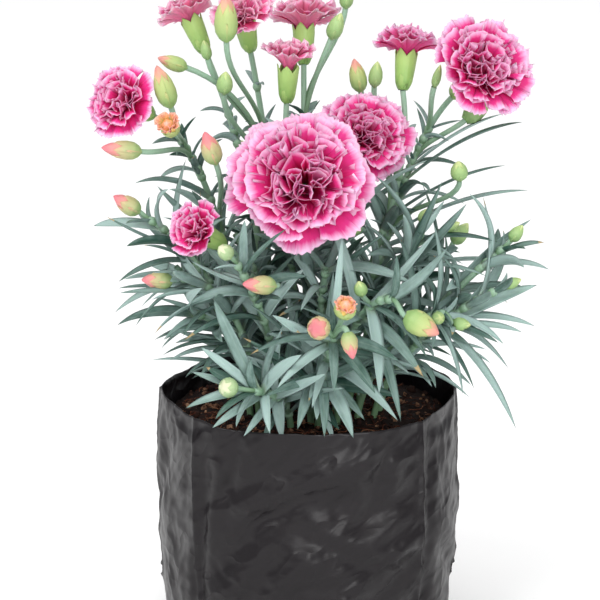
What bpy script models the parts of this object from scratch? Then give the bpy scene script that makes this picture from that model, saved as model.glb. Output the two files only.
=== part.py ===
"""A pot carnation (dianthus) in a black gusseted film grow bag, built at its real size.

Frame: metres, +Z up, origin on the surface under the middle of the bag, -Y to the front.
Each stem with its leaves, buds and calyx is one solid, and so is the petal head of each bloom.
"""

import math
import random
from collections import namedtuple

import bmesh
import bpy
from mathutils import Matrix, Vector
from mathutils.bvhtree import BVHTree

MM = 0.001
UP = Vector((0, 0, 1))
FLAT_ANGLE = math.radians(3)  # faces that meet flatter than this are split into triangles together

# Grow bag
BAG_RADIUS = 70 * MM
BAG_HEIGHT = 120 * MM
BAG_WALL = 0.8 * MM
BAG_PROFILE = (  # height and radius of the wall, as shares of the bag's height and radius
    (0.0, 0.87), (0.03, 0.93), (0.12, 0.965), (0.5, 1.012), (1.0, 1.0),
)
CREASES = (0, 43, 137, 180, 223, 317)  # degrees round the bag, where the gusset folds stand out
CREASE_HEIGHT = 1.0 * MM
GUSSET_FLAT = 3.0 * MM  # how far the narrow panels at the sides are flattened at the rim
RING_STEP = 11.5  # degrees between the points of a ring, about
RIM_WAVE = 1.2 * MM
# Degrees round the bag and mm up it
DRAIN_HOLES = ((0, 30), (62, 30), (118, 34), (180, 29), (235, 30), (284, 38))
DRAIN_RADIUS = 2.6 * MM

# Potting mix
SOIL_HEIGHT = 107 * MM
SOIL_MOUND = 3 * MM
SOIL_BUMP = 1.4 * MM
SOIL_TOP = SOIL_HEIGHT + SOIL_MOUND
BAG_SECTION = (  # height as a share, and inset, of the surfaces that leaves keep clear of
    (0.0, 0.0), (0.03, 0.0), (0.12, 0.0), (0.5, 0.0), (1.0, 0.0), (1.0, BAG_WALL), (0.8, BAG_WALL),
)
SOIL_RINGS = ((0.97, SOIL_HEIGHT, SOIL_BUMP), (0.78, SOIL_TOP, 0))  # share of the radius, level, bumps
GAP = 0.4 * MM
ROOT_DEPTH = 9 * MM
HOLE_GAP = 0.6 * MM

# Stems and leaves
STEM_RADIUS = 1.6 * MM
STALK_RADIUS = 1.15 * MM
STEM_POINTS = 6
STALK_POINTS = 3
STEM_TRIES = 90
STEM_BOW = 26  # mm
STEM_ROOM = 0.7 * MM
ROOT_SPREAD = 0.36  # a stem's foot stands at this share of the way out to its head
ROOT_SPACING = 7.5 * MM
LEAF_WIDTH = 6.0  # mm, of the paired leaves
LEAF_KEEL = 1.2 * MM  # thickness at the midrib
LEAF_STATIONS = (0.0, 0.35, 0.72)
LEAF_FOLD = 0.22  # how far the edges are raised, as a share of the half width
CLEARANCE = 0.5 * MM
LEAF_TRIES = 60
LEAF_ROOT = 0.3  # share of a leaf that may touch its own shoot

# Blooms and buds; a profile goes from foot to top, as shares of the length and of the radius
CALYX_LENGTH = 19 * MM
CALYX_RADIUS = 5.6 * MM
CALYX_PROFILE = ((0, 0.5), (0.15, 0.78), (1, 1))
BUD_PROFILE = ((0, 0.5), (0.3, 1), (0.66, 0.8))
CORE_PROFILE = ((0, 0.3), (0.5, 1), (1, 0.8))
BLOOM_SPACE = ((0.02, 0.35), (0.2, 1.04), (0.5, 1.06), (0.78, 0.72), (0.95, 0.35))  # kept clear of leaves
TURNED_SIDES = 6
CORE_HEIGHT = 0.42  # of the bloom's radius, as is the width
CORE_WIDTH = 0.42
PETAL_THICKNESS = 1.4 * MM
MOUTH_DEPTH = 0.36  # of the radius, from a bloom's centre down to its calyx mouth
TIERS_FULL = (  # petals, their length and width as shares of the radius, and their rise in degrees
    (8, 1.12, 0.76, 62, -6), (6, 1.05, 0.7, 80, 24), (3, 0.95, 0.66, 86, 60),
)
TIERS_SMALL = ((6, 1.1, 0.85, 62, 0), (3, 1.0, 0.8, 84, 52))
TIERS_HALF_OPEN = ((5, 1.15, 0.75, 84, 52), (2, 1.1, 0.6, 88, 78))

Bloom = namedtuple("Bloom", "name centre faces radius")
Bud = namedtuple("Bud", "centre faces length width share")  # share is where its stalk leaves the stem
Leaf = namedtuple("Leaf", "start middle end side width roll")

# Centres of the blooms in mm, the way each faces, and its radius in mm
BLOOMS = (
    Bloom("main", (-3, -42, 229), (-0.1, -0.85, 0.5), 31),
    Bloom("right_front", (27, -2, 242), (0.3, -0.75, 0.6), 22),
    Bloom("left", (-84, -20, 261), (-0.55, -0.7, 0.4), 17.5),
    Bloom("far_right", (79, -10, 275), (0.45, -0.65, 0.6), 24),
    Bloom("right_back", (46, 18, 281), (0.1, 0.3, 0.95), 15.5),
    Bloom("left_back", (-56, 30, 294), (-0.4, 0.35, 0.85), 14.5),
    Bloom("top_front", (-30, 8, 297), (-0.15, -0.45, 0.88), 15.5),
    Bloom("top_back", (-2, 34, 291), (0.0, 0.35, 0.93), 17),
    Bloom("half_open_top", (-9, 2, 276), (0.05, -0.05, 1.0), 12.5),
    Bloom("half_open_low", (-49, -42, 206), (-0.5, -0.7, 0.45), 14),
)
HALF_OPEN = ("half_open_top", "half_open_low")

# The stems that carry a bloom: leaf pairs, leaf length in mm, first turn in degrees, buds, and
# leaves that the eye picks out as (share of the stem, tip, lift, width, roll), in mm and degrees
BLOOM_STEMS = {
    "main": (2, 46, 20, (), ((0.52, (-4, -57, 202), 8, 6, 10), (0.5, (34, -52, 208), -6, 7, 20))),
    "right_front": (
        2, 46, 70, (Bud((21, -24, 203), (-0.5, -0.8, 0.2), 9, 5, 0.5),),
        ((0.62, (24, -30, 229), 4, 6, 0), (0.6, (56, -36, 242), 4, 7, 30)),
    ),
    "left": (
        2, 40, 40,
        (
            Bud((-66, -27, 268), (-0.3, -0.1, 0.95), 20, 9.5, 0.8),
            Bud((-62, -37, 253), (-0.2, -0.85, 0.4), 12, 9, 0.76),
            Bud((-84, -34, 242), (-0.95, -0.25, 0.15), 18, 8.5, 0.72),
            Bud((-44, -34, 243), (-0.3, -0.2, 0.93), 16, 9, 0.5),
        ),
        (
            (0.62, (-79, -22, 224), 6, 4.5, 30), (0.48, (-69, -18, 222), -6, 4, 50),
            (0.55, (-63, -30, 223), 3, 5, 10), (0.4, (-66, -30, 210), 8, 4.5, 0),
        ),
    ),
    "far_right": (
        2, 46, 10,
        (
            Bud((79, 12, 252), (0.7, 0.1, 0.6), 16, 9, 0.72),
            Bud((59, -2, 270), (0.25, -0.1, 0.95), 11, 4, 0.8),
            Bud((69, -12, 228), (-0.1, -0.4, 0.9), 10, 8, 0.5),
        ),
        (
            (0.66, (98, -10, 250), 6, 4.5, 40), (0.7, (92, 6, 254), 4, 4, 20),
            (0.56, (91, -6, 229), 4, 4, 30), (0.5, (101, -14, 219), 5, 4.5, 40),
            (0.6, (55, -34, 222), 9, 5, 0),
        ),
    ),
    "right_back": (
        2, 42, 120,
        (
            Bud((26, 12, 268), (-0.2, -0.1, 0.95), 16, 8, 0.62),
            Bud((36, 8, 265), (0.1, -0.3, 0.9), 13, 6.5, 0.7),
        ),
        (),
    ),
    "left_back": (2, 40, 60, (), ()),
    "top_front": (
        2, 40, 0,
        (
            Bud((-37, -16, 299), (0, -0.1, 1), 22, 10.5, 0.72),
            Bud((-62, -8, 277), (-0.9, -0.2, 0.35), 14, 7, 0.62),
            Bud((-47, 4, 281), (-0.2, 0.1, 0.95), 9, 5, 0.66),
            Bud((-38, -8, 268), (0.1, -0.3, 0.95), 11, 7.5, 0.6),
        ),
        (),
    ),
    "top_back": (
        2, 42, 90,
        (
            Bud((13, 18, 290), (0.35, -0.1, 0.9), 13, 7.5, 0.8),
            Bud((18, 26, 303), (0.1, 0, 1), 12, 6.5, 0.84),
        ),
        (),
    ),
    "half_open_top": (2, 44, 30, (), ()),
    "half_open_low": (2, 44, 75, (), ()),
}

# Lower shoots: where each ends in mm, the way it faces there, and the same values as above
SHOOTS = (
    (
        "low_left_bud", (-73, -20, 207), (-0.8, 0, 0.5), 2, 44, 15,
        (Bud((-83, -20, 214), (-0.85, 0, 0.55), 14, 8.5, 1),),
        ((0.8, (-92, -24, 209), -5, 3.5, 30), (0.7, (-79, -24, 200), 4, 4.5, 20)),
    ),
    (
        "left_bud", (-58, -32, 182), (-1, 0, 0.05), 2, 48, 60,
        (Bud((-69, -32, 181), (-1, 0, 0.05), 14, 8.5, 1),),
        ((0.75, (-71, -40, 174), 3, 5, 40), (0.7, (-70, -36, 157), 8, 5, 40)),
    ),
    (
        "front_left_buds", (-32, -56, 195), (-0.4, -0.5, 0.75), 2, 48, 0,
        (
            Bud((-37, -62, 202), (-0.5, -0.6, 0.6), 9, 7, 1),
            Bud((-22, -63, 187), (-0.97, -0.2, 0.1), 15, 8.5, 0.8),
        ),
        ((0.9, (-27, -52, 216), 2, 4.5, 30), (0.85, (-52, -56, 196), -5, 4, 20)),
    ),
    (
        "front_buds", (11, -70, 165), (0.1, -0.8, 0.6), 1, 50, 45,
        (
            Bud((4, -84, 173), (-0.3, -0.9, 0.25), 10, 10.5, 0.97),
            Bud((16, -80, 181), (0.1, -0.7, 0.7), 9, 10, 0.97),
            Bud((18, -88, 166), (0.2, -0.5, -0.85), 12, 7, 0.98),
        ),
        (
            (0.93, (-26, -74, 158), 6, 6, 50), (0.9, (-14, -86, 146), 2, 6, 40),
            (0.95, (11, -92, 146), 4, 4.5, 0), (0.93, (29, -90, 145), 3, 6, 0),
            (0.9, (40, -78, 156), 7, 5.5, 40),
        ),
    ),
    (
        "front_right_bud", (37, -62, 180), (0.6, -0.6, 0.1), 1, 50, 80,
        (
            Bud((50, -72, 171), (0.85, -0.3, -0.4), 17, 11, 1),
            Bud((23, -57, 184), (-0.2, -0.4, 0.8), 8, 6, 0.8),
        ),
        ((0.8, (31, -78, 141), 5, 7, 0), (0.7, (41, -74, 127), 10, 6, 10)),
    ),
    (
        "low_front_left", (-24, -66, 139), (-0.5, -0.5, 0.2), 1, 44, 30,
        (Bud((-36, -74, 143), (-0.5, -0.8, 0.3), 9, 9, 1),),
        (
            (0.96, (-42, -62, 180), 5, 6.5, 20), (0.9, (-3, -84, 161), 3, 6, 20),
            (0.85, (-17, -82, 124), 7, 5.5, 0), (0.97, (-55, -67, 131), 3, 5.5, 30),
            (0.95, (-48, -62, 158), 2, 4.5, 30), (0.95, (-41, -86, 132), 3, 5, 0),
        ),
    ),
    (
        "low_front", (6, -56, 142), (0.1, -0.9, 0.5), 1, 46, 50, (),
        (
            (0.95, (7, -75, 120), 10, 5.5, 0), (0.9, (20, -70, 118), 9, 7.5, 0),
            (0.8, (-5, -76, 124), 9, 6, 0), (0.85, (28, -74, 122), 9, 5, 10),
            (0.9, (3, -84, 134), 6, 3.5, 0),
        ),
    ),
    (
        "right_buds", (52, -18, 200), (0.5, -0.3, 0.8), 2, 48, 25,
        (
            Bud((53, -22, 209), (0.3, -0.4, 0.85), 8, 5.5, 1),
            Bud((66, -14, 202), (0.8, -0.3, 0.5), 9, 5, 0.85),
        ),
        ((0.7, (60, -36, 228), -10, 6, 60), (0.75, (72, -24, 215), -9, 6.5, 60)),
    ),
    (
        "low_right_buds", (62, -34, 166), (0.8, -0.4, 0.2), 1, 50, 5,
        (
            Bud((70, -38, 162), (0.9, -0.3, 0), 8, 6, 1),
            Bud((59, -42, 166), (0.2, -0.9, 0.2), 7, 6, 0.9),
        ),
        (
            (0.85, (95, -44, 114), 12, 6, 20), (0.9, (70, -50, 132), 8, 4.5, 0),
            (0.95, (92, -34, 147), 7, 4, 30), (0.8, (76, -38, 131), 9, 4, 10),
        ),
    ),
    (
        "right_long", (90, -14, 192), (0.75, 0, 0.7), 2, 46, 50,
        (Bud((96, -14, 199), (0.6, 0, 0.8), 9, 6, 1),),
        (
            (0.93, (111, -16, 207), 3, 4.5, 40), (0.6, (103, -8, 204), 8, 4, 40),
            (0.85, (112, -8, 180), 5, 4, 30),
        ),
    ),
    (
        "right_low_long", (86, -24, 174), (0.85, 0, 0.4), 2, 50, 20,
        (Bud((94, -24, 178), (0.9, 0, 0.4), 8, 5, 1),),
        (
            (0.6, (115, -26, 186), 3, 7, 40), (0.7, (110, -24, 158), 5, 4.5, 30),
            (0.6, (98, -30, 156), 5, 5.5, 30), (0.8, (113, -20, 166), 4, 4, 40),
        ),
    ),
    (
        "left_leafy", (-52, -30, 165), (-0.7, -0.3, 0.3), 3, 52, 35, (),
        (
            (0.6, (-67, -30, 145), 6, 5, 30), (0.7, (-65, -50, 158), 6, 5.5, 40),
            (0.5, (-56, -42, 138), 7, 6, 20),
        ),
    ),
    ("left_back_leafy", (-62, 6, 178), (-0.8, 0.1, 0.5), 3, 50, 70, (), ()),
    (
        "back_left_leafy", (-46, 42, 172), (-0.6, 0.6, 0.5), 3, 52, 20,
        (Bud((-53, 49, 181), (-0.5, 0.5, 0.7), 13, 8, 1),), (),
    ),
    ("back_leafy", (-12, 58, 176), (-0.2, 0.85, 0.5), 3, 52, 55, (), ()),
    (
        "back_bud", (16, 48, 205), (0.1, 0.5, 0.85), 3, 46, 10,
        (Bud((18, 56, 220), (0.1, 0.45, 0.9), 15, 9, 1),), (),
    ),
    ("back_right_leafy", (40, 50, 170), (0.5, 0.7, 0.45), 3, 52, 80, (), ()),
    (
        "right_back_leafy", (66, 24, 180), (0.8, 0.4, 0.5), 3, 50, 40,
        (Bud((73, 28, 189), (0.6, 0.3, 0.75), 12, 7.5, 1),), (),
    ),
    (
        "mid_back", (-26, 30, 212), (-0.3, 0.5, 0.8), 2, 44, 65,
        (Bud((-30, 36, 226), (-0.3, 0.4, 0.85), 14, 8.5, 1),), (),
    ),
    ("mid_right", (36, -4, 190), (0.4, -0.1, 0.9), 2, 50, 15, (), ()),
    ("mid_left", (-34, -4, 196), (-0.5, -0.2, 0.85), 2, 50, 50, (), ()),
    ("mid_front", (8, -30, 186), (0.1, -0.6, 0.8), 2, 50, 5, (), ()),
)

COLOURS = {  # linear RGB, roughness
    "bag_film": ((0.02, 0.018, 0.02), 0.42),
    "potting_mix": ((0.045, 0.02, 0.014), 0.95),
    "foliage": ((0.17, 0.29, 0.24), 0.6),
    "petals": ((0.75, 0.06, 0.25), 0.55),
}


def mm(point):
    """A point of the tables above, in metres."""
    return Vector(point) * MM


def bag_radius(turn, height):
    """Radius of the bag's outside, round it in degrees and up it as a share of its height."""
    for (low, inner), (high, outer) in zip(BAG_PROFILE, BAG_PROFILE[1:]):
        if height <= high:
            break
    radius = BAG_RADIUS * (inner + (outer - inner) * (height - low) / (high - low))
    nearest = min(abs((turn - crease + 180) % 360 - 180) for crease in CREASES)
    radius += CREASE_HEIGHT * max(0, 1 - nearest / 4) * min(1, height * 4)
    for left, right in ((0, 43), (137, 180), (180, 223), (317, 360)):
        if left < turn < right:
            radius -= GUSSET_FLAT * height ** 3 * math.sin(math.pi * (turn - left) / (right - left))
    return radius


def ring_turns():
    """Degrees round the bag: every crease, with the panels between them split evenly."""
    turns = []
    for left, right in zip(CREASES, CREASES[1:] + (360,)):
        steps = round((right - left) / RING_STEP)
        turns += [left + (right - left) * step / steps for step in range(steps)]
    return turns


def on_ring(turn, radius, height):
    angle = math.radians(turn)
    return Vector((radius * math.cos(angle), radius * math.sin(angle), height))


def loft(mesh, rings, close_end=True):
    """Joins rings of equal length with quads, and closes the ends with a face each."""
    made = [[mesh.verts.new(point) for point in ring] for ring in rings]
    for lower, upper in zip(made, made[1:]):
        count = len(lower)
        for i in range(count):
            mesh.faces.new((lower[i], lower[(i + 1) % count], upper[(i + 1) % count], upper[i]))
    mesh.faces.new(reversed(made[0]))
    if close_end:
        mesh.faces.new(made[-1])
    return made


def to_object(mesh, name, collection, slot=None):
    """Turns a bmesh into an object with its faces pointing out and split into triangles."""
    bmesh.ops.recalc_face_normals(mesh, faces=mesh.faces)
    bmesh.ops.triangulate(mesh, faces=mesh.faces)
    data = bpy.data.meshes.new(name)
    mesh.to_mesh(data)
    mesh.free()
    made = bpy.data.objects.new(name, data)
    collection.objects.link(made)
    if slot:
        data.materials.append(material(slot))
    return made


def material(slot):
    """The Principled material of one finish, made once."""
    found = bpy.data.materials.get(slot)
    if found:
        return found
    colour, roughness = COLOURS[slot]
    made = bpy.data.materials.new(slot)
    made.use_nodes = True
    shader = made.node_tree.nodes["Principled BSDF"]
    shader.inputs["Base Color"].default_value = (*colour, 1)
    shader.inputs["Roughness"].default_value = roughness
    shader.inputs["Metallic"].default_value = 0
    return made


def evaluated_mesh(made):
    graph = bpy.context.evaluated_depsgraph_get()
    return bpy.data.meshes.new_from_object(made.evaluated_get(graph))


def combine(made, pieces, operation="UNION"):
    """Joins the pieces to made in one body, or cuts them out of it, and removes them."""
    helper = bpy.data.collections.new("pieces")
    bpy.context.scene.collection.children.link(helper)
    for piece in pieces:
        piece.users_collection[0].objects.unlink(piece)
        helper.objects.link(piece)
    join = made.modifiers.new("join", "BOOLEAN")
    join.operation = operation
    join.operand_type = "COLLECTION"
    join.collection = helper
    join.solver = "MANIFOLD"
    mesh = evaluated_mesh(made)
    made.modifiers.clear()
    made.data = mesh
    for piece in list(helper.objects):
        bpy.data.objects.remove(piece)
    bpy.data.collections.remove(helper)
    return made


def keep_outer_body(made):
    """Fills the hollows that joining sealed and drops loose scraps, leaving the largest shell."""
    mesh = bmesh.new()
    mesh.from_mesh(made.data)
    shells = []
    waiting = set(mesh.verts)
    while waiting:
        shell, edge = set(), [waiting.pop()]
        while edge:
            vert = edge.pop()
            shell.add(vert)
            for link in vert.link_edges:
                other = link.other_vert(vert)
                if other in waiting:
                    waiting.discard(other)
                    edge.append(other)
        shells.append(shell)
    largest = max(shells, key=len)
    scraps = [vert for shell in shells if shell is not largest for vert in shell]
    bmesh.ops.delete(mesh, geom=scraps, context="VERTS")
    bmesh.ops.dissolve_limit(mesh, angle_limit=FLAT_ANGLE, verts=mesh.verts, edges=mesh.edges)
    bmesh.ops.triangulate(mesh, faces=mesh.faces)
    mesh.to_mesh(made.data)
    mesh.free()


def rings_tree(rings, tip=None):
    """The surface through rings of equal length, drawn in to a tip if there is one."""
    points = [point for ring in rings for point in ring]
    count = len(rings[0])
    faces = []
    for row in range(len(rings) - 1):
        for i in range(count):
            a, b = row * count + i, row * count + (i + 1) % count
            faces += [(a, b, b + count), (a, b + count, a + count)]
    if tip is not None:
        last = (len(rings) - 1) * count
        faces += [(last + i, last + (i + 1) % count, len(points)) for i in range(count)]
        points.append(tip)
    return BVHTree.FromPolygons(points, faces)


def round_rings(line, radii, sides=6):
    """Rings square to a line of points, turned as little as possible from one to the next."""
    rings = []
    side = None
    for i, (point, radius) in enumerate(zip(line, radii)):
        ahead = (line[min(i + 1, len(line) - 1)] - line[max(i - 1, 0)]).normalized()
        side = ahead.orthogonal() if side is None else side - ahead * side.dot(ahead)
        side.normalize()
        over = ahead.cross(side)
        turns = [math.tau * k / sides for k in range(sides)]
        rings.append([point + (side * math.cos(a) + over * math.sin(a)) * radius for a in turns])
    return rings


def profile_tree(base, way, length, radius, profile, pointed):
    """The surface of a form turned about an axis."""
    line = [base + way * length * share for share, _ in profile]
    tip = base + way * length if pointed else None
    return rings_tree(round_rings(line, [radius * width for _, width in profile]), tip)


def shift(draw, share, reach):
    """A random move that grows with share up to a reach in mm."""
    return Vector((draw.uniform(-1, 1), draw.uniform(-1, 1), draw.uniform(-0.7, 1))) * reach * MM * share


class Thicket:
    """What has been placed so far, so that new stems and leaves are bent clear of it."""

    def __init__(self):
        self.placed = []
        bag = [[on_ring(turn, bag_radius(turn, share) - inset, share * (BAG_HEIGHT + rim_wave(turn)))
                for turn in ring_turns()] for share, inset in BAG_SECTION]
        self.add(rings_tree(bag), "grow_bag")
        mix = [[on_ring(turn, bag_radius(turn, 0.9) * share, level) for turn in ring_turns()]
               for share, level in ((0.99, SOIL_HEIGHT + 1 * MM), (0.78, SOIL_TOP))]
        self.add(rings_tree(mix, Vector((0, 0, SOIL_TOP))), "potting_mix")
        for bloom in BLOOMS:
            radius = bloom.radius * MM
            room = profile_tree(mouth_of(bloom), way_of(bloom), radius, radius, BLOOM_SPACE, True)
            self.add(room, bloom.name)

    def add(self, tree, owner):
        self.placed.append((tree, owner))

    def line_clear(self, line, reach, owner):
        """Whether every point above the potting mix is further than reach from what others own."""
        above = [point for point in line if point.z > SOIL_TOP + reach]
        others = [tree for tree, holder in self.placed if holder != owner]
        return not any(tree.find_nearest(point, reach)[0] for tree in others for point in above)

    def leaf_clear(self, leaf, owner):
        """Whether the leaf, a little enlarged, is clear of everything but the stem at its foot."""
        whole, outer = (rings_tree(*leaf_rings(leaf, CLEARANCE, first)) for first in (0.0, LEAF_ROOT))
        return not any((outer if holder == owner else whole).overlap(tree) for tree, holder in self.placed)

    def settle_stem(self, stem, radius, owner):
        """Bows the stem a little further at each try until it is clear of the rest."""
        draw = random.Random(f"{owner} stem")
        for attempt in range(STEM_TRIES):
            low, high = (shift(draw, attempt / STEM_TRIES, STEM_BOW) for _ in range(2))
            tried = stem.bowed(low, high)
            if self.line_clear(tried.line(61), radius + STEM_ROOM, owner):
                return tried
        print("no way through for the stem of", owner)
        return stem

    def settle_bud(self, stem, bud, owner):
        """Moves a bud and its stalk a little further at each try until both are clear."""
        faces = Vector(bud.faces).normalized()
        draw = random.Random(f"{owner} bud {bud.centre}")
        for attempt in range(STEM_TRIES):
            centre = mm(bud.centre) + shift(draw, attempt / STEM_TRIES, 9)
            foot = centre - faces * bud.length * 0.5 * MM
            stalk = Stem(stem.at(bud.share), foot, stem.along(bud.share), faces)
            body = [foot + faces * bud.length * MM * i / 8 for i in range(9)]
            if (self.line_clear(body, bud.width * 0.5 * MM + CLEARANCE, owner)
                    and self.line_clear(stalk.line(12), STALK_RADIUS + CLEARANCE, owner)):
                return stalk
        print("no room for a bud of", owner, bud.centre)
        return None

    def settle_leaf(self, leaf, owner, key, reach):
        """Bends the leaf a little further at each try until it is clear, or gives it up."""
        draw = random.Random(f"{owner} leaf {key}")
        for attempt in range(LEAF_TRIES):
            moved = shift(draw, attempt / LEAF_TRIES, reach)
            shrink = 1 - 0.4 * attempt / LEAF_TRIES
            tried = leaf._replace(end=leaf.start + (leaf.end - leaf.start) * shrink + moved,
                                  middle=leaf.start + (leaf.middle - leaf.start) * shrink + moved * 0.4)
            if self.leaf_clear(tried, owner):
                return tried
        print("no room for a leaf of", owner, key)
        return None


def cubic(a, b, c, d, t):
    s = 1 - t
    return a * s ** 3 + b * (3 * s * s * t) + c * (3 * s * t * t) + d * t ** 3


def quadratic(a, b, c, t):
    s = 1 - t
    return a * s * s + b * (2 * s * t) + c * t * t


class Stem:
    """A smooth line from a foot up to a head that faces a given way."""

    def __init__(self, foot, top, rises, faces):
        reach = (top - foot).length
        faces = Vector(faces).normalized()
        self.top = top
        self.points = (foot, foot + rises * reach * 0.34, top - faces * reach * 0.3, top)

    def bowed(self, low, high):
        """A copy with its two middle points moved."""
        made = Stem(self.points[0], self.top, UP, UP)
        made.points = (self.points[0], self.points[1] + low * 0.5, self.points[2] + high, self.top)
        return made

    def at(self, t):
        return cubic(*self.points, t)

    def along(self, t):
        return (self.at(t + 0.02) - self.at(t - 0.02)).normalized()

    def line(self, count):
        return [self.at(i / (count - 1)) for i in range(count)]


def feet_of(tops):
    """Where the stems stand in the mix: under their heads, pushed apart until none touch."""
    feet = [Vector((top.x, top.y)) * ROOT_SPREAD for top in tops]
    for _ in range(200):
        for i, first in enumerate(feet):
            for second in feet[i + 1:]:
                apart = second - first
                short = ROOT_SPACING - apart.length
                if short > 0:
                    push = apart.normalized() * short * 0.5
                    first -= push
                    second += push
    return [Vector((foot.x, foot.y, SOIL_TOP - ROOT_DEPTH)) for foot in feet]


def tube(name, line, radius, collection, end_share=1.0, roundness=1):
    """A round stem along a line of points: a bevelled curve, made a mesh with its caps welded."""
    curve = bpy.data.curves.new(name, "CURVE")
    curve.dimensions = "3D"
    curve.bevel_depth = radius
    curve.bevel_resolution = roundness
    curve.use_fill_caps = True
    spline = curve.splines.new("POLY")
    spline.points.add(len(line) - 1)
    for i, (point, place) in enumerate(zip(spline.points, line)):
        point.co = (*place, 1)
        point.radius = 1 + (end_share - 1) * i / (len(line) - 1)
    helper = bpy.data.objects.new(name, curve)
    collection.objects.link(helper)
    data = evaluated_mesh(helper)
    bpy.data.objects.remove(helper)
    mesh = bmesh.new()
    mesh.from_mesh(data)
    bmesh.ops.remove_doubles(mesh, verts=mesh.verts, dist=0.01 * MM)
    return to_object(mesh, name, collection)


def turned(name, base, faces, length, radius, profile, collection):
    """A form turned about the way it faces, such as a bud or a calyx, from its top to its foot."""
    data = bpy.data.meshes.new(name)
    points = [(0, 0, length)]
    points += [(radius * width, 0, length * share) for share, width in reversed(profile)]
    points += [(0, 0, 0)]
    data.from_pydata(points, [(i, i + 1) for i in range(len(points) - 1)], [])
    helper = bpy.data.objects.new(name, data)
    collection.objects.link(helper)
    turn = helper.modifiers.new("turn", "SCREW")
    turn.steps = TURNED_SIDES
    turn.render_steps = TURNED_SIDES
    turn.use_merge_vertices = True
    turn.merge_threshold = 0.01 * MM
    mesh = bmesh.new()
    mesh.from_mesh(evaluated_mesh(helper))
    bpy.data.objects.remove(helper)
    place = Matrix.Translation(base) @ Vector(faces).normalized().to_track_quat("Z", "Y").to_matrix().to_4x4()
    bmesh.ops.transform(mesh, matrix=place, verts=mesh.verts)
    return to_object(mesh, name, collection)


def leaf_to(stem, share, end, lift, width, roll):
    """A leaf from its place on the stem to a tip, arched by lift."""
    start = stem.at(share)
    axis = stem.along(share)
    out = end - start
    middle = start + out * 0.45 + UP * lift * MM + axis * out.length * 0.08
    return Leaf(start, middle, end, axis.cross(out).normalized(), width, roll)


def paired_leaf(stem, share, turn, length, droop, width, roll):
    """A leaf of an opposite pair, growing out of its stem at a turn in degrees about it."""
    start = stem.at(share)
    axis = stem.along(share)
    across = axis.cross(Vector((1, 0, 0))).normalized()
    out = Matrix.Rotation(math.radians(turn), 3, axis) @ across
    middle = start + (axis * 0.36 + out * 0.24) * length
    end = start + (axis * 0.46 + out * 0.82) * length - UP * droop
    return Leaf(start, middle, end, axis.cross(out), width, roll)


def half_width(t):
    """A narrow leaf's half width along it, as a share of its widest: slim at its foot and pointed."""
    return (0.34 + 0.66 * math.sin(math.pi * min(0.5, t / 0.7))) * (1 - t ** 3.2)


def leaf_rings(leaf, extra=0.0, first=0.0):
    """A keeled blade's sections of edge, edge and midrib underneath, and its point."""
    rings = []
    for station in LEAF_STATIONS:
        t = max(first, station)
        place = quadratic(leaf.start, leaf.middle, leaf.end, t)
        ahead = (quadratic(leaf.start, leaf.middle, leaf.end, t + 0.01) - place).normalized()
        side = (leaf.side - ahead * leaf.side.dot(ahead)).normalized()
        side = Matrix.Rotation(math.radians(leaf.roll) * (0.4 + 0.6 * t), 3, ahead) @ side
        face = ahead.cross(side)
        half = leaf.width * MM * 0.5 * half_width(t) + extra
        edge = face * (half * LEAF_FOLD + extra)
        keel = place - face * (LEAF_KEEL + extra)
        rings.append([place + side * half + edge, place - side * half + edge, keel])
    return rings, leaf.end + (leaf.end - leaf.middle).normalized() * extra


def leaf_mesh(leaf):
    """A keeled blade, closed at its foot and drawn in to a point."""
    mesh = bmesh.new()
    rings, point = leaf_rings(leaf)
    made = loft(mesh, rings, close_end=False)
    tip = mesh.verts.new(point)
    for i in range(3):
        mesh.faces.new((made[-1][i], made[-1][(i + 1) % 3], tip))
    return mesh


def petal_mesh(radius, turn, start, length, width, rise_from, rise_to, wave):
    """One petal: a lens that is thick in its belly, on a narrow claw, with a waved and toothed rim."""
    angles = [math.radians(rise_from + (rise_to - rise_from) * share) for share in (0.3, 0.8)]
    belly = Vector((start + 0.5 * length * math.cos(angles[0]), 0, 0.5 * length * math.sin(angles[0])))
    rim = belly + Vector((math.cos(angles[1]), 0, math.sin(angles[1]))) * length * 0.5
    face = Vector((-math.sin(angles[1]), 0, math.cos(angles[1])))
    ahead = Vector((math.cos(angles[1]), 0, math.sin(angles[1])))
    across = Vector((0, width * 0.5, 0))
    claw = Vector((start, 0, 0))
    outline = [claw - across * 0.3, claw + across * 0.3, belly + across * 0.62]
    for i, u in enumerate((1, 0.5, 0, -0.5, -1)):
        back = ahead * length * (0.16 * u * u + (0.06 if i % 2 else 0))
        outline.append(rim + across * u - back + face * radius * wave * (1 if i % 2 else -1))
    outline.append(belly - across * 0.62)
    mesh = bmesh.new()
    swing = Matrix.Rotation(math.radians(turn), 3, "Z")
    edge = [mesh.verts.new(swing @ point) for point in outline]
    bulge = face * PETAL_THICKNESS * 0.5
    sides = [mesh.verts.new(swing @ (belly + ahead * length * 0.08 + way)) for way in (bulge, -bulge)]
    for i, point in enumerate(edge):
        following = edge[(i + 1) % len(edge)]
        mesh.faces.new((point, following, sides[0]))
        mesh.faces.new((following, point, sides[1]))
    return mesh


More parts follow.
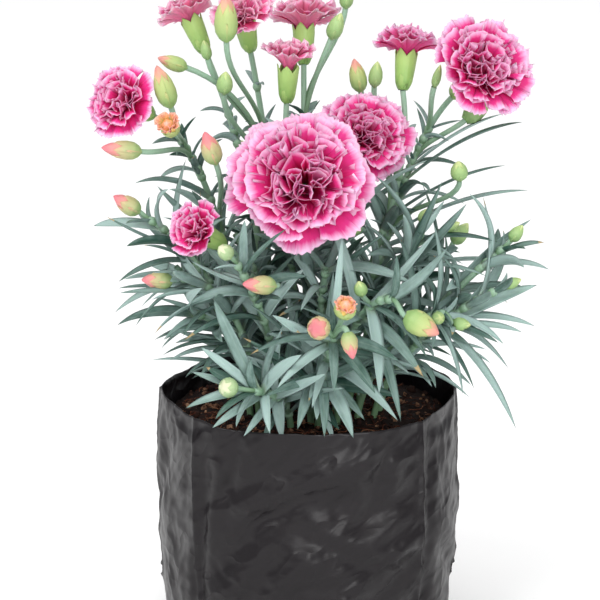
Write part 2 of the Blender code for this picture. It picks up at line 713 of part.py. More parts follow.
def build_bloom(bloom, collection):
    """The petal head of one bloom: tiers of petals that stand out of a small core."""
    draw = random.Random(bloom.name)
    radius = bloom.radius * MM
    tiers = TIERS_HALF_OPEN if bloom.name in HALF_OPEN else TIERS_FULL if bloom.radius > 20 else TIERS_SMALL
    core = turned(bloom.name + "_petals", Vector(), UP, radius * CORE_HEIGHT, radius * CORE_WIDTH, CORE_PROFILE,
                  collection)
    pieces = []
    for tier, (count, length, width, rise_from, rise_to) in enumerate(tiers):
        for i in range(count):
            turn = 360 * (i + 0.5 * (tier % 2)) / count + draw.uniform(-7, 7)
            mesh = petal_mesh(radius, turn, CALYX_RADIUS * 0.3, radius * length * draw.uniform(0.93, 1.03),
                              radius * width, rise_from, rise_to + (7 if i % 2 else -5), draw.uniform(0.04, 0.08))
            bmesh.ops.translate(mesh, vec=UP * radius * 0.06 * (tier + 1), verts=mesh.verts)
            pieces.append(to_object(mesh, "petal", collection))
    combine(core, pieces)
    keep_outer_body(core)
    faces = way_of(bloom)
    turned_to = faces.to_track_quat("Z", "Y").to_matrix().to_4x4()
    core.data.transform(Matrix.Translation(mouth_of(bloom) + faces * GAP) @ turned_to)
    core.data.materials.clear()
    core.data.materials.append(material("petals"))


def way_of(bloom):
    return Vector(bloom.faces).normalized()


def mouth_of(bloom):
    """The middle of the calyx mouth, below the bloom's centre."""
    return mm(bloom.centre) - way_of(bloom) * bloom.radius * MOUTH_DEPTH * MM


def build_bag(collection):
    """The bag: an open surface of film, given its thickness inwards, with drain holes round its foot."""
    mesh = bmesh.new()
    rings = []
    for height, _ in BAG_PROFILE:
        rings.append([on_ring(turn, bag_radius(turn, height), height * (BAG_HEIGHT + rim_wave(turn)))
                      for turn in ring_turns()])
    loft(mesh, rings, close_end=False)
    bmesh.ops.recalc_face_normals(mesh, faces=mesh.faces)
    data = bpy.data.meshes.new("grow_bag")
    mesh.to_mesh(data)
    mesh.free()
    bag = bpy.data.objects.new("grow_bag", data)
    collection.objects.link(bag)
    wall = bag.modifiers.new("wall", "SOLIDIFY")
    wall.thickness = BAG_WALL
    wall.offset = -1
    wall.use_even_offset = True
    bag.data = evaluated_mesh(bag)
    bag.modifiers.clear()
    cutters = []
    for turn, height in DRAIN_HOLES:
        across = [on_ring(turn, BAG_RADIUS + step * MM, height * MM) for step in (-8, 8)]
        cutters.append(tube("drain", across, DRAIN_RADIUS, collection))
    combine(bag, cutters, "DIFFERENCE")
    keep_outer_body(bag)
    bag.data.materials.clear()
    bag.data.materials.append(material("bag_film"))
    return bag


def rim_wave(turn):
    return RIM_WAVE * math.sin(math.radians(turn * 3 + 40)) * math.cos(math.radians(turn))


def build_soil(stems, collection):
    """The potting mix: it fills the bag, with a bumpy top and a plain hole for each stem."""
    draw = random.Random("potting_mix")
    mesh = bmesh.new()
    lines = [height for height, _ in BAG_PROFILE if height * BAG_HEIGHT < SOIL_HEIGHT]
    rings = []
    for height in lines:
        level = max(height * BAG_HEIGHT, BAG_WALL + GAP)
        rings.append([on_ring(turn, bag_radius(turn, height) - BAG_WALL - 1.4 * GAP, level) for turn in ring_turns()])
    share = SOIL_HEIGHT / BAG_HEIGHT
    for ring, level, bump in SOIL_RINGS:
        rings.append([on_ring(turn, (bag_radius(turn, share) - BAG_WALL - GAP) * ring,
                              level + draw.uniform(-1, 1) * bump) for turn in ring_turns()])
    loft(mesh, rings)
    soil = to_object(mesh, "potting_mix", collection)
    holes = []
    for stem in stems:
        start, after = stem.line(STEM_POINTS)[:2]
        ahead = (after - start).normalized()
        ends = (start - ahead * HOLE_GAP, start + ahead * 24 * MM)
        holes.append(tube("hole", ends, STEM_RADIUS + HOLE_GAP, collection))
    combine(soil, holes, "DIFFERENCE")
    keep_outer_body(soil)
    soil.data.materials.clear()
    soil.data.materials.append(material("potting_mix"))
    return soil


class Shoot:
    """One stem with its buds and leaves, and the calyx if it carries a bloom."""

    def __init__(self, name, top, faces, pairs, leaf, turn, buds, leaves, bloom=None):
        self.name = name
        self.top = top
        self.faces = faces
        self.pairs = pairs
        self.leaf = leaf
        self.turn = turn
        self.buds = buds
        self.leaves = leaves
        self.bloom = bloom
        self.stem = None
        self.pieces = []

    def add_stem(self, foot, thicket, collection):
        self.stem = thicket.settle_stem(Stem(foot, self.top, UP, self.faces), STEM_RADIUS, self.name)
        line = self.stem.line(STEM_POINTS)
        thicket.add(rings_tree(round_rings(line, [STEM_RADIUS] * STEM_POINTS)), self.name)
        self.pieces.append(tube(self.name, line, STEM_RADIUS, collection, 0.9))

    def add_calyx(self, thicket, collection):
        form = (self.top, self.faces, calyx_length(self.bloom), calyx_radius(self.bloom), CALYX_PROFILE)
        thicket.add(profile_tree(*form, False), self.name)
        self.pieces.append(turned("calyx", *form, collection))

    def add_buds(self, thicket, collection):
        for bud in self.buds:
            stalk = thicket.settle_bud(self.stem, bud, self.name)
            if stalk:
                line = stalk.line(STALK_POINTS)
                form = (stalk.top, Vector(bud.faces).normalized(), bud.length * MM, bud.width * 0.5 * MM, BUD_PROFILE)
                thicket.add(rings_tree(round_rings(line, [STALK_RADIUS] * STALK_POINTS, 4)), self.name)
                thicket.add(profile_tree(*form, True), self.name)
                self.pieces.append(tube("stalk", line, STALK_RADIUS, collection, roundness=0))
                self.pieces.append(turned("bud", *form, collection))

    def add_leaf(self, leaf, key, reach, thicket, collection):
        settled = thicket.settle_leaf(leaf, self.name, key, reach)
        if settled:
            thicket.add(rings_tree(*leaf_rings(settled)), self.name)
            self.pieces.append(to_object(leaf_mesh(settled), "leaf", collection))

    def add_chosen_leaves(self, thicket, collection):
        for i, (share, tip, lift, width, roll) in enumerate(self.leaves):
            self.add_leaf(leaf_to(self.stem, share, mm(tip), lift, width, roll), f"chosen {i}", 9, thicket, collection)

    def add_paired_leaves(self, thicket, collection):
        """Opposite pairs, each a quarter turn on from the one below and shorter than it."""
        shorter = 0.55 if self.bloom else 0.25
        for pair in range(self.pairs):
            draw = random.Random(f"{self.name} pair {pair}")
            share = 0.22 + 0.74 * (pair + 0.5 * draw.random()) / self.pairs
            turn = self.turn + 90 * pair + draw.uniform(-15, 15)
            for side in (0, 180):
                length = self.leaf * MM * (1 - shorter * share) * draw.uniform(0.85, 1.1)
                leaf = paired_leaf(self.stem, share, turn + side, length, length * draw.uniform(0, 0.4), LEAF_WIDTH,
                                   draw.uniform(-25, 25))
                self.add_leaf(leaf, f"{pair} {side}", 14, thicket, collection)

    def join(self):
        made = self.pieces[0]
        combine(made, self.pieces[1:])
        keep_outer_body(made)
        made.data.materials.clear()
        made.data.materials.append(material("foliage"))


def calyx_length(bloom):
    return CALYX_LENGTH * (0.64 + 0.36 * bloom.radius / 31)


def calyx_radius(bloom):
    return CALYX_RADIUS * (0.72 + 0.28 * bloom.radius / 31)


def plant_shoots():
    """Every stem of the plant, those that carry a bloom first."""
    shoots = []
    for bloom in BLOOMS:
        top = mouth_of(bloom) - way_of(bloom) * calyx_length(bloom)
        shoots.append(Shoot(bloom.name + "_stem", top, way_of(bloom), *BLOOM_STEMS[bloom.name], bloom))
    for name, top, faces, *rest in SHOOTS:
        shoots.append(Shoot(name, mm(top), Vector(faces).normalized(), *rest))
    return shoots


def build():
    for leftover in list(bpy.data.objects):
        bpy.data.objects.remove(leftover)
    collection = bpy.data.collections.new("dianthus_plant")
    bpy.context.scene.collection.children.link(collection)
    build_bag(collection)
    for bloom in BLOOMS:
        build_bloom(bloom, collection)
    thicket = Thicket()
    shoots = plant_shoots()
    for shoot, foot in zip(shoots, feet_of([shoot.top for shoot in shoots])):
        shoot.add_stem(foot, thicket, collection)
    for shoot in shoots:
        if shoot.bloom:
            shoot.add_calyx(thicket, collection)
    for shoot in shoots:
        shoot.add_buds(thicket, collection)
    for shoot in shoots:
        shoot.add_chosen_leaves(thicket, collection)
    for shoot in shoots:
        shoot.add_paired_leaves(thicket, collection)
    for shoot in shoots:
        shoot.join()
    build_soil([shoot.stem for shoot in shoots], collection)


build()
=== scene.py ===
"""The looks of a pot carnation in a black film grow bag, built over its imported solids.

Every stem, leaf, bud and bloom stands where its solid stands: the growth rules below are those of
the solids, and the fine surfaces follow what they settle on. Millimetres in the tables, metres in
the meshes, +Z up, -Y to the front.
"""

from __future__ import annotations

import logging
import math
import random
from dataclasses import dataclass, replace
from enum import Enum
from typing import Iterable, Sequence

import bmesh
import bpy
import numpy as np
from mathutils import Matrix, Vector, noise
from mathutils.bvhtree import BVHTree

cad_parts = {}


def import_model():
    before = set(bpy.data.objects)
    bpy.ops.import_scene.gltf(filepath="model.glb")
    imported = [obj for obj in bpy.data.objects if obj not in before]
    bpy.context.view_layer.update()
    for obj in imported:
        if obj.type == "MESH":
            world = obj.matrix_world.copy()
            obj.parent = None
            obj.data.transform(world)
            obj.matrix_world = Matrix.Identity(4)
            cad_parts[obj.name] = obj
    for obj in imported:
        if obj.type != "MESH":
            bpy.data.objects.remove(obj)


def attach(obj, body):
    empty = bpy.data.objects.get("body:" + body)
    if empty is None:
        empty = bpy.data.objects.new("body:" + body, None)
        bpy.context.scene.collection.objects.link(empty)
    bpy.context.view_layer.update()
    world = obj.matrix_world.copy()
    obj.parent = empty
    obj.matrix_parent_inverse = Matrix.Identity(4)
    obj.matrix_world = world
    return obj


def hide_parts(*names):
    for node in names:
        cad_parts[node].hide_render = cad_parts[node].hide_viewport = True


LOG = logging.getLogger("dianthus")
MM = 0.001
UP = Vector((0, 0, 1))
BODY = "root"
Point = tuple[float, float, float]


class Stage(Enum):
    """How far a bud has come, which sets its finish."""

    GREEN = "green"
    FLUSHED = "flushed"
    SALMON = "salmon"
    CREAM = "cream"
    OPENING = "opening"


class Fullness(Enum):
    """How a bloom's petals are tiered."""

    FULL = "full"
    SMALL = "small"
    HALF_OPEN = "half_open"


@dataclass(frozen=True)
class BloomPlace:
    """A bloom's centre in mm, the way it faces and its radius in mm."""

    name: str
    centre: Point
    faces: Point
    radius: float
    fullness: Fullness = Fullness.SMALL

    def way(self) -> Vector:
        """The unit direction that the bloom faces."""
        return Vector(self.faces).normalized()

    def mouth(self) -> Vector:
        """The middle of the calyx mouth, below the bloom's centre."""
        return mm(self.centre) - self.way() * self.radius * MOUTH_DEPTH * MM

    def calyx_length(self) -> float:
        """Length of the calyx in metres, longer on larger blooms."""
        return CALYX_LENGTH * (0.64 + 0.36 * self.radius / LARGEST_BLOOM)

    def calyx_radius(self) -> float:
        """Radius of the calyx at its mouth in metres."""
        return CALYX_RADIUS * (0.72 + 0.28 * self.radius / LARGEST_BLOOM)


@dataclass(frozen=True)
class Bud:
    """A bud: its centre, the way it faces, length and width in mm, and where its stalk leaves the stem."""

    centre: Point
    faces: Point
    length: float
    width: float
    share: float
    stage: Stage = Stage.GREEN


@dataclass(frozen=True)
class Leaf:
    """A leaf's arched midline in metres, its sideways direction, width in mm and twist in degrees."""

    start: Vector
    middle: Vector
    end: Vector
    side: Vector
    width: float
    roll: float


@dataclass(frozen=True)
class ShootPlan:
    """What one stem carries: pairs of leaves of a length in mm, buds, and leaves listed one by one.

    A listed leaf is (share of the stem, tip, lift, width, roll), in mm and degrees.
    """

    name: str
    top: Vector
    faces: Vector
    pairs: int
    leaf: float
    turn: float
    buds: tuple[Bud, ...]
    leaves: tuple[tuple, ...]
    bloom: BloomPlace | None = None


def mm(point: Sequence[float]) -> Vector:
    """A point of the tables, in metres."""
    return Vector(point) * MM


# Bag and potting mix, as in the solids. Creases and gussets are in degrees round the bag
BAG_RADIUS = 70 * MM
BAG_HEIGHT = 120 * MM
BAG_WALL = 0.8 * MM
BAG_PROFILE = ((0.0, 0.87), (0.03, 0.93), (0.12, 0.965), (0.5, 1.012), (1.0, 1.0))
CREASES = (0, 43, 137, 180, 223, 317)
CREASE_HALF = 4
CREASE_HEIGHT = 1.0 * MM
GUSSETS = ((0, 43), (137, 180), (180, 223), (317, 360))
GUSSET_FLAT = 3.0 * MM
RIM_WAVE = 1.2 * MM
RING_STEP = 11.5
BAG_SECTION = (
    (0.0, 0.0), (0.03, 0.0), (0.12, 0.0), (0.5, 0.0), (1.0, 0.0), (1.0, BAG_WALL), (0.8, BAG_WALL),
)
SOIL_HEIGHT = 107 * MM
SOIL_TOP = SOIL_HEIGHT + 3 * MM

# Stems, leaves and buds, as in the solids
ROOT_DEPTH = 9 * MM
STEM_POINTS = 6
STALK_POINTS = 3
STEM_RADIUS = 1.6 * MM
STALK_RADIUS = 1.15 * MM
STEM_TRIES = 90
STEM_BOW = 26
STEM_ROOM = 0.7 * MM
ROOT_SPREAD = 0.36
ROOT_SPACING = 7.5 * MM
LEAF_WIDTH = 6.0
LEAF_KEEL = 1.2 * MM
LEAF_STATIONS = (0.0, 0.35, 0.72)
LEAF_FOLD = 0.22
CLEARANCE = 0.5 * MM
LEAF_TRIES = 60
# The furthest that a bud, a listed leaf and a leaf of a pair are moved, in mm
BUD_REACH = 9
CHOSEN_REACH = 9
PAIR_REACH = 14
LEAF_ROOT = 0.3
CALYX_LENGTH = 19 * MM
CALYX_RADIUS = 5.6 * MM
CALYX_PROFILE = ((0.0, 0.5), (0.15, 0.78), (1.0, 1.0))
BUD_PROFILE = ((0.0, 0.5), (0.3, 1.0), (0.66, 0.8))
MOUTH_DEPTH = 0.36
LARGEST_BLOOM = 31
BLOOM_SPACE = ((0.02, 0.35), (0.2, 1.04), (0.5, 1.06), (0.78, 0.72), (0.95, 0.35))


def from_crease(turn: float) -> float:
    """Degrees from a turn to the nearest crease."""
    return min(abs((turn - crease + 180) % 360 - 180) for crease in CREASES)


def bag_radius(turn: float, height: float) -> float:
    """Radius of the bag's outside.

    Args:
        turn: Degrees round the bag.
        height: Share of the bag's height.

    Returns:
        The radius in metres.
    """
    for (low, inner), (high, outer) in zip(BAG_PROFILE, BAG_PROFILE[1:]):
        if height <= high:
            break
    radius = BAG_RADIUS * (inner + (outer - inner) * (height - low) / (high - low))
    radius += CREASE_HEIGHT * max(0, 1 - from_crease(turn) / CREASE_HALF) * min(1, height * 4)
    for left, right in GUSSETS:
        if left < turn < right:
            radius -= GUSSET_FLAT * height ** 3 * math.sin(math.pi * (turn - left) / (right - left))
    return radius


def ring_turns() -> list[float]:
    """Degrees round the bag for the columns of its wall.

    Returns:
        Every crease, with the panels between them split evenly.
    """
    turns = []
    for left, right in zip(CREASES, CREASES[1:] + (360,)):
        steps = round((right - left) / RING_STEP)
        turns += [left + (right - left) * step / steps for step in range(steps)]
    return turns


def on_ring(turn: float, radius: float, height: float) -> Vector:
    """The point at a turn in degrees, a radius and a height in metres."""
    angle = math.radians(turn)
    return Vector((radius * math.cos(angle), radius * math.sin(angle), height))


def rim_wave(turn: float) -> float:
    """How much the bag's rim stands above its height at a turn in degrees, in metres."""
    return RIM_WAVE * math.sin(math.radians(turn * 3 + 40)) * math.cos(math.radians(turn))


def rings_tree(rings: Sequence[Sequence[Vector]], tip: Vector | None = None) -> BVHTree:
    """The surface through rings of equal length, for tests of what touches it.

    Args:
        rings: The rings, each a list of points.
        tip: A point that the last ring is drawn in to.

    Returns:
        The tree of its triangles.
    """
    points = [point for ring in rings for point in ring]
    count = len(rings[0])
    faces = []
    for row in range(len(rings) - 1):
        for i in range(count):
            a, b = row * count + i, row * count + (i + 1) % count
            faces += [(a, b, b + count), (a, b + count, a + count)]
    if tip is not None:
        last = (len(rings) - 1) * count
        faces += [(last + i, last + (i + 1) % count, len(points)) for i in range(count)]
        points.append(tip)
    return BVHTree.FromPolygons(points, faces)


def round_rings(line: Sequence[Vector], radii: Sequence[float], sides: int = 6) -> list[list[Vector]]:
    """Rings square to a line of points, turned as little as possible from one to the next.

    Args:
        line: The points that the rings stand round.
        radii: The radius of each ring in metres.
        sides: Points in a ring.

    Returns:
        The rings.
    """
    rings = []
    side = None
    for i, (point, radius) in enumerate(zip(line, radii)):
        ahead = (line[min(i + 1, len(line) - 1)] - line[max(i - 1, 0)]).normalized()
        side = ahead.orthogonal() if side is None else side - ahead * side.dot(ahead)
        side.normalize()
        over = ahead.cross(side)
        turns = [math.tau * k / sides for k in range(sides)]
        rings.append([point + (side * math.cos(a) + over * math.sin(a)) * radius for a in turns])
    return rings


def profile_tree(base: Vector, way: Vector, length: float, radius: float, profile: Sequence,
                 pointed: bool) -> BVHTree:
    """The surface of a form turned about an axis.

    Args:
        base: Where the form starts.
        way: The unit direction of its axis.
        length: Its length in metres.
        radius: Its radius in metres.
        profile: Shares of the length and of the radius.
        pointed: Whether it is drawn in to a point at its full length.

    Returns:
        The tree of its triangles.
    """
    line = [base + way * length * share for share, _ in profile]
    tip = base + way * length if pointed else None
    return rings_tree(round_rings(line, [radius * width for _, width in profile]), tip)


def cubic(a: Vector, b: Vector, c: Vector, d: Vector, t: float) -> Vector:
    """A point on a cubic Bezier curve."""
    s = 1 - t
    return a * s ** 3 + b * (3 * s * s * t) + c * (3 * s * t * t) + d * t ** 3


def quadratic(a: Vector, b: Vector, c: Vector, t: float) -> Vector:
    """A point on a quadratic Bezier curve."""
    s = 1 - t
    return a * s * s + b * (2 * s * t) + c * t * t


def half_width(t: float) -> float:
    """A solid leaf's half width along it, as a share of its widest."""
    return (0.34 + 0.66 * math.sin(math.pi * min(0.5, t / 0.7))) * (1 - t ** 3.2)


def leaf_rings(leaf: Leaf, extra: float = 0.0, first: float = 0.0) -> tuple[list[list[Vector]], Vector]:
    """The solid leaf's sections and tip.

    Args:
        leaf: The leaf.
        extra: How much it is enlarged all round, in metres.
        first: Where along it the first section stands.

    Returns:
        Sections of edge, edge and keel, and the point of the leaf.
    """
    rings = []
    for station in LEAF_STATIONS:
        t = max(first, station)
        place = quadratic(leaf.start, leaf.middle, leaf.end, t)
        ahead = (quadratic(leaf.start, leaf.middle, leaf.end, t + 0.01) - place).normalized()
        side = (leaf.side - ahead * leaf.side.dot(ahead)).normalized()
        side = Matrix.Rotation(math.radians(leaf.roll) * (0.4 + 0.6 * t), 3, ahead) @ side
        face = ahead.cross(side)
        half = leaf.width * MM * 0.5 * half_width(t) + extra
        edge = face * (half * LEAF_FOLD + extra)
        keel = place - face * (LEAF_KEEL + extra)
        rings.append([place + side * half + edge, place - side * half + edge, keel])
    return rings, leaf.end + (leaf.end - leaf.middle).normalized() * extra


class Stem:
    """A smooth line from a foot up to a head that faces a given way."""

    def __init__(self, foot: Vector, top: Vector, rises: Vector, faces: Vector) -> None:
        """Sets the line.

        Args:
            foot: Where it starts.
            top: Where it ends.
            rises: The unit direction in which it starts.
            faces: The direction in which it ends.
        """
        reach = (top - foot).length
        faces = Vector(faces).normalized()
        self.top = top
        self.points = (foot, foot + rises * reach * 0.34, top - faces * reach * 0.3, top)

    def bowed(self, low: Vector, high: Vector) -> "Stem":
        """A copy with its two middle points moved."""
        made = Stem(self.points[0], self.top, UP, UP)
        made.points = (self.points[0], self.points[1] + low * 0.5, self.points[2] + high, self.top)
        return made

    def at(self, t: float) -> Vector:
        """The point at a share of the line."""
        return cubic(*self.points, t)

    def along(self, t: float) -> Vector:
        """The unit direction of the line at a share of it."""
        return (self.at(t + 0.02) - self.at(t - 0.02)).normalized()

    def line(self, count: int) -> list[Vector]:
        """Evenly spaced points, from foot to top."""
        return [self.at(i / (count - 1)) for i in range(count)]


class Thicket:
    """What has been placed so far, so that new stems and leaves are bent clear of it."""

    def __init__(self) -> None:
        """Starts with the bag, the mix and the room that each bloom takes."""
        self.placed: list[tuple[BVHTree, str]] = []
        bag = [[on_ring(turn, bag_radius(turn, share) - inset, share * (BAG_HEIGHT + rim_wave(turn)))
                for turn in ring_turns()]
               for share, inset in BAG_SECTION]
        self.add(rings_tree(bag), "grow_bag")
        mix = [[on_ring(turn, bag_radius(turn, 0.9) * share, level) for turn in ring_turns()]
               for share, level in ((0.99, SOIL_HEIGHT + 1 * MM), (0.78, SOIL_TOP))]
        self.add(rings_tree(mix, Vector((0, 0, SOIL_TOP))), "potting_mix")
        for bloom in BLOOMS:
            radius = bloom.radius * MM
            self.add(profile_tree(bloom.mouth(), bloom.way(), radius, radius, BLOOM_SPACE, True), bloom.name)

    def add(self, tree: BVHTree, owner: str) -> None:
        """Keeps later things clear of a tree, unless they have the same owner."""
        self.placed.append((tree, owner))

    def line_clear(self, line: Iterable[Vector], reach: float, owner: str) -> bool:
        """Whether every point above the potting mix is further than reach from what others own."""
        above = [point for point in line if point.z > SOIL_TOP + reach]
        others = [tree for tree, holder in self.placed if holder != owner]
        return not any(tree.find_nearest(point, reach)[0] for tree in others for point in above)

    def leaf_clear(self, leaf: Leaf, owner: str) -> bool:
        """Whether the leaf, a little enlarged, is clear of everything but the stem at its foot."""
        whole, outer = (rings_tree(*leaf_rings(leaf, CLEARANCE, first)) for first in (0.0, LEAF_ROOT))
        return not any((outer if holder == owner else whole).overlap(tree) for tree, holder in self.placed)

    def settle_stem(self, stem: Stem, radius: float, owner: str) -> Stem:
        """Bows a stem a little further at each try until it is clear of the rest.

        Args:
            stem: The stem as it would grow.
            radius: Its radius in metres.
            owner: The name of the shoot.

        Returns:
            The bowed stem, or the stem as it was where no try is clear.
        """
        draw = random.Random(f"{owner} stem")
        for attempt in range(STEM_TRIES):
            low, high = (shift(draw, attempt / STEM_TRIES, STEM_BOW) for _ in range(2))
            tried = stem.bowed(low, high)
            if self.line_clear(tried.line(61), radius + STEM_ROOM, owner):
                return tried
        return stem

    def settle_bud(self, stem: Stem, bud: Bud, owner: str) -> Stem | None:
        """Moves a bud and its stalk a little further at each try until both are clear.

        Args:
            stem: The stem that the stalk leaves.
            bud: The bud.
            owner: The name of the shoot.

        Returns:
            The stalk, whose top is the bud's foot, or None where there is no room.
        """
        faces = Vector(bud.faces).normalized()
        draw = random.Random(f"{owner} bud {bud.centre}")
        for attempt in range(STEM_TRIES):
            centre = mm(bud.centre) + shift(draw, attempt / STEM_TRIES, BUD_REACH)
            foot = centre - faces * bud.length * 0.5 * MM
            stalk = Stem(stem.at(bud.share), foot, stem.along(bud.share), faces)
            body = [foot + faces * bud.length * MM * i / 8 for i in range(9)]
            if (self.line_clear(body, bud.width * 0.5 * MM + CLEARANCE, owner)
                    and self.line_clear(stalk.line(12), STALK_RADIUS + CLEARANCE, owner)):
                return stalk
        return None

    def settle_leaf(self, leaf: Leaf, owner: str, key: str, reach: float) -> Leaf | None:
        """Bends a leaf a little further at each try until it is clear, or gives it up.

        Args:
            leaf: The leaf as it would grow.
            owner: The name of the shoot.
            key: What tells this leaf's random moves from another's.
            reach: The furthest move in mm.

        Returns:
            The leaf with room round it, or None.
        """
        draw = random.Random(f"{owner} leaf {key}")
        for attempt in range(LEAF_TRIES):
            moved = shift(draw, attempt / LEAF_TRIES, reach)
            shrink = 1 - 0.4 * attempt / LEAF_TRIES
            tried = replace(leaf, end=leaf.start + (leaf.end - leaf.start) * shrink + moved,
                            middle=leaf.start + (leaf.middle - leaf.start) * shrink + moved * 0.4)
            if self.leaf_clear(tried, owner):
                return tried
        return None


def shift(draw: random.Random, share: float, reach: float) -> Vector:
    """A random move that grows with share up to a reach in mm."""
    return Vector((draw.uniform(-1, 1), draw.uniform(-1, 1), draw.uniform(-0.7, 1))) * reach * MM * share


def feet_of(tops: Sequence[Vector]) -> list[Vector]:
    """Where the stems stand in the mix: under their heads, pushed apart until none touch.

    Args:
        tops: Where the stems end.

    Returns:
        The foot of each.
    """
    feet = [Vector((top.x, top.y)) * ROOT_SPREAD for top in tops]
    for _ in range(200):
        for i, first in enumerate(feet):
            for second in feet[i + 1:]:
                apart = second - first
                short = ROOT_SPACING - apart.length
                if short > 0:
                    push = apart.normalized() * short * 0.5
                    first -= push
                    second += push
    return [Vector((foot.x, foot.y, SOIL_TOP - ROOT_DEPTH)) for foot in feet]


def leaf_to(stem: Stem, share: float, end: Vector, lift: float, width: float, roll: float) -> Leaf:
    """A leaf from its place on the stem to a tip.

    Args:
        stem: The stem that it grows from.
        share: Where on the stem.
        end: The leaf's tip.
        lift: How much it is arched, in mm.
        width: Its width in mm.
        roll: Its twist in degrees.

    Returns:
        The leaf.
    """
    start = stem.at(share)
    axis = stem.along(share)
    out = end - start
    middle = start + out * 0.45 + UP * lift * MM + axis * out.length * 0.08
    return Leaf(start, middle, end, axis.cross(out).normalized(), width, roll)


def paired_leaf(stem: Stem, share: float, turn: float, length: float, droop: float, width: float,
                roll: float) -> Leaf:
    """A leaf of an opposite pair.

    Args:
        stem: The stem that it grows from.
        share: Where on the stem.
        turn: Degrees about the stem.
        length: Its length in metres.
        droop: How far its tip hangs, in metres.
        width: Its width in mm.
        roll: Its twist in degrees.

    Returns:
        The leaf.
    """
    start = stem.at(share)
    axis = stem.along(share)
    across = axis.cross(Vector((1, 0, 0))).normalized()
    out = Matrix.Rotation(math.radians(turn), 3, axis) @ across
    middle = start + (axis * 0.36 + out * 0.24) * length
    end = start + (axis * 0.46 + out * 0.82) * length - UP * droop
    return Leaf(start, middle, end, axis.cross(out), width, roll)


# Centres of the blooms in mm, the way each faces, and its radius in mm
BLOOMS = (
    BloomPlace("main", (-3, -42, 229), (-0.1, -0.85, 0.5), 31, Fullness.FULL),
    BloomPlace("right_front", (27, -2, 242), (0.3, -0.75, 0.6), 22, Fullness.FULL),
    BloomPlace("left", (-84, -20, 261), (-0.55, -0.7, 0.4), 17.5),
    BloomPlace("far_right", (79, -10, 275), (0.45, -0.65, 0.6), 24, Fullness.FULL),
    BloomPlace("right_back", (46, 18, 281), (0.1, 0.3, 0.95), 15.5),
    BloomPlace("left_back", (-56, 30, 294), (-0.4, 0.35, 0.85), 14.5),
    BloomPlace("top_front", (-30, 8, 297), (-0.15, -0.45, 0.88), 15.5),
    BloomPlace("top_back", (-2, 34, 291), (0.0, 0.35, 0.93), 17),
    BloomPlace("half_open_top", (-9, 2, 276), (0.05, -0.05, 1.0), 12.5, Fullness.HALF_OPEN),
    BloomPlace("half_open_low", (-49, -42, 206), (-0.5, -0.7, 0.45), 14, Fullness.HALF_OPEN),
)
# The stems that carry a bloom: leaf pairs, leaf length in mm, first turn in degrees, buds, and
# leaves listed one by one as (share of the stem, tip, lift, width, roll), in mm and degrees
BLOOM_STEMS = {
    "main": (2, 46, 20, (), ((0.52, (-4, -57, 202), 8, 6, 10), (0.5, (34, -52, 208), -6, 7, 20))),
    "right_front": (
        2, 46, 70, (Bud((21, -24, 203), (-0.5, -0.8, 0.2), 9, 5, 0.5),),
        ((0.62, (24, -30, 229), 4, 6, 0), (0.6, (56, -36, 242), 4, 7, 30)),
    ),
    "left": (
        2, 40, 40,
        (
            Bud((-66, -27, 268), (-0.3, -0.1, 0.95), 20, 9.5, 0.8, Stage.FLUSHED),
            Bud((-62, -37, 253), (-0.2, -0.85, 0.4), 12, 9, 0.76, Stage.OPENING),
            Bud((-84, -34, 242), (-0.95, -0.25, 0.15), 18, 8.5, 0.72, Stage.SALMON),
            Bud((-44, -34, 243), (-0.3, -0.2, 0.93), 16, 9, 0.5, Stage.SALMON),
        ),
        (
            (0.62, (-79, -22, 224), 6, 4.5, 30), (0.48, (-69, -18, 222), -6, 4, 50),
            (0.55, (-63, -30, 223), 3, 5, 10), (0.4, (-66, -30, 210), 8, 4.5, 0),
        ),
    ),
    "far_right": (
        2, 46, 10,
        (
            Bud((79, 12, 252), (0.7, 0.1, 0.6), 16, 9, 0.72, Stage.GREEN),
            Bud((59, -2, 270), (0.25, -0.1, 0.95), 11, 4, 0.8),
            Bud((69, -12, 228), (-0.1, -0.4, 0.9), 10, 8, 0.5),
        ),
        (
            (0.66, (98, -10, 250), 6, 4.5, 40), (0.7, (92, 6, 254), 4, 4, 20),
            (0.56, (91, -6, 229), 4, 4, 30), (0.5, (101, -14, 219), 5, 4.5, 40),
            (0.6, (55, -34, 222), 9, 5, 0),
        ),
    ),
    "right_back": (
        2, 42, 120,
        (
            Bud((26, 12, 268), (-0.2, -0.1, 0.95), 16, 8, 0.62, Stage.FLUSHED),
            Bud((36, 8, 265), (0.1, -0.3, 0.9), 13, 6.5, 0.7),
        ),
        (),
    ),
    "left_back": (2, 40, 60, (), ()),
    "top_front": (
        2, 40, 0,
        (
            Bud((-37, -16, 299), (0, -0.1, 1), 22, 10.5, 0.72, Stage.FLUSHED),
            Bud((-62, -8, 277), (-0.9, -0.2, 0.35), 14, 7, 0.62, Stage.FLUSHED),
            Bud((-47, 4, 281), (-0.2, 0.1, 0.95), 9, 5, 0.66),
            Bud((-38, -8, 268), (0.1, -0.3, 0.95), 11, 7.5, 0.6),
        ),
        (),
    ),
    "top_back": (
        2, 42, 90,
        (
            Bud((13, 18, 290), (0.35, -0.1, 0.9), 13, 7.5, 0.8),
            Bud((18, 26, 303), (0.1, 0, 1), 12, 6.5, 0.84),
        ),
        (),
    ),
    "half_open_top": (2, 44, 30, (), ()),
    "half_open_low": (2, 44, 75, (), ()),
}

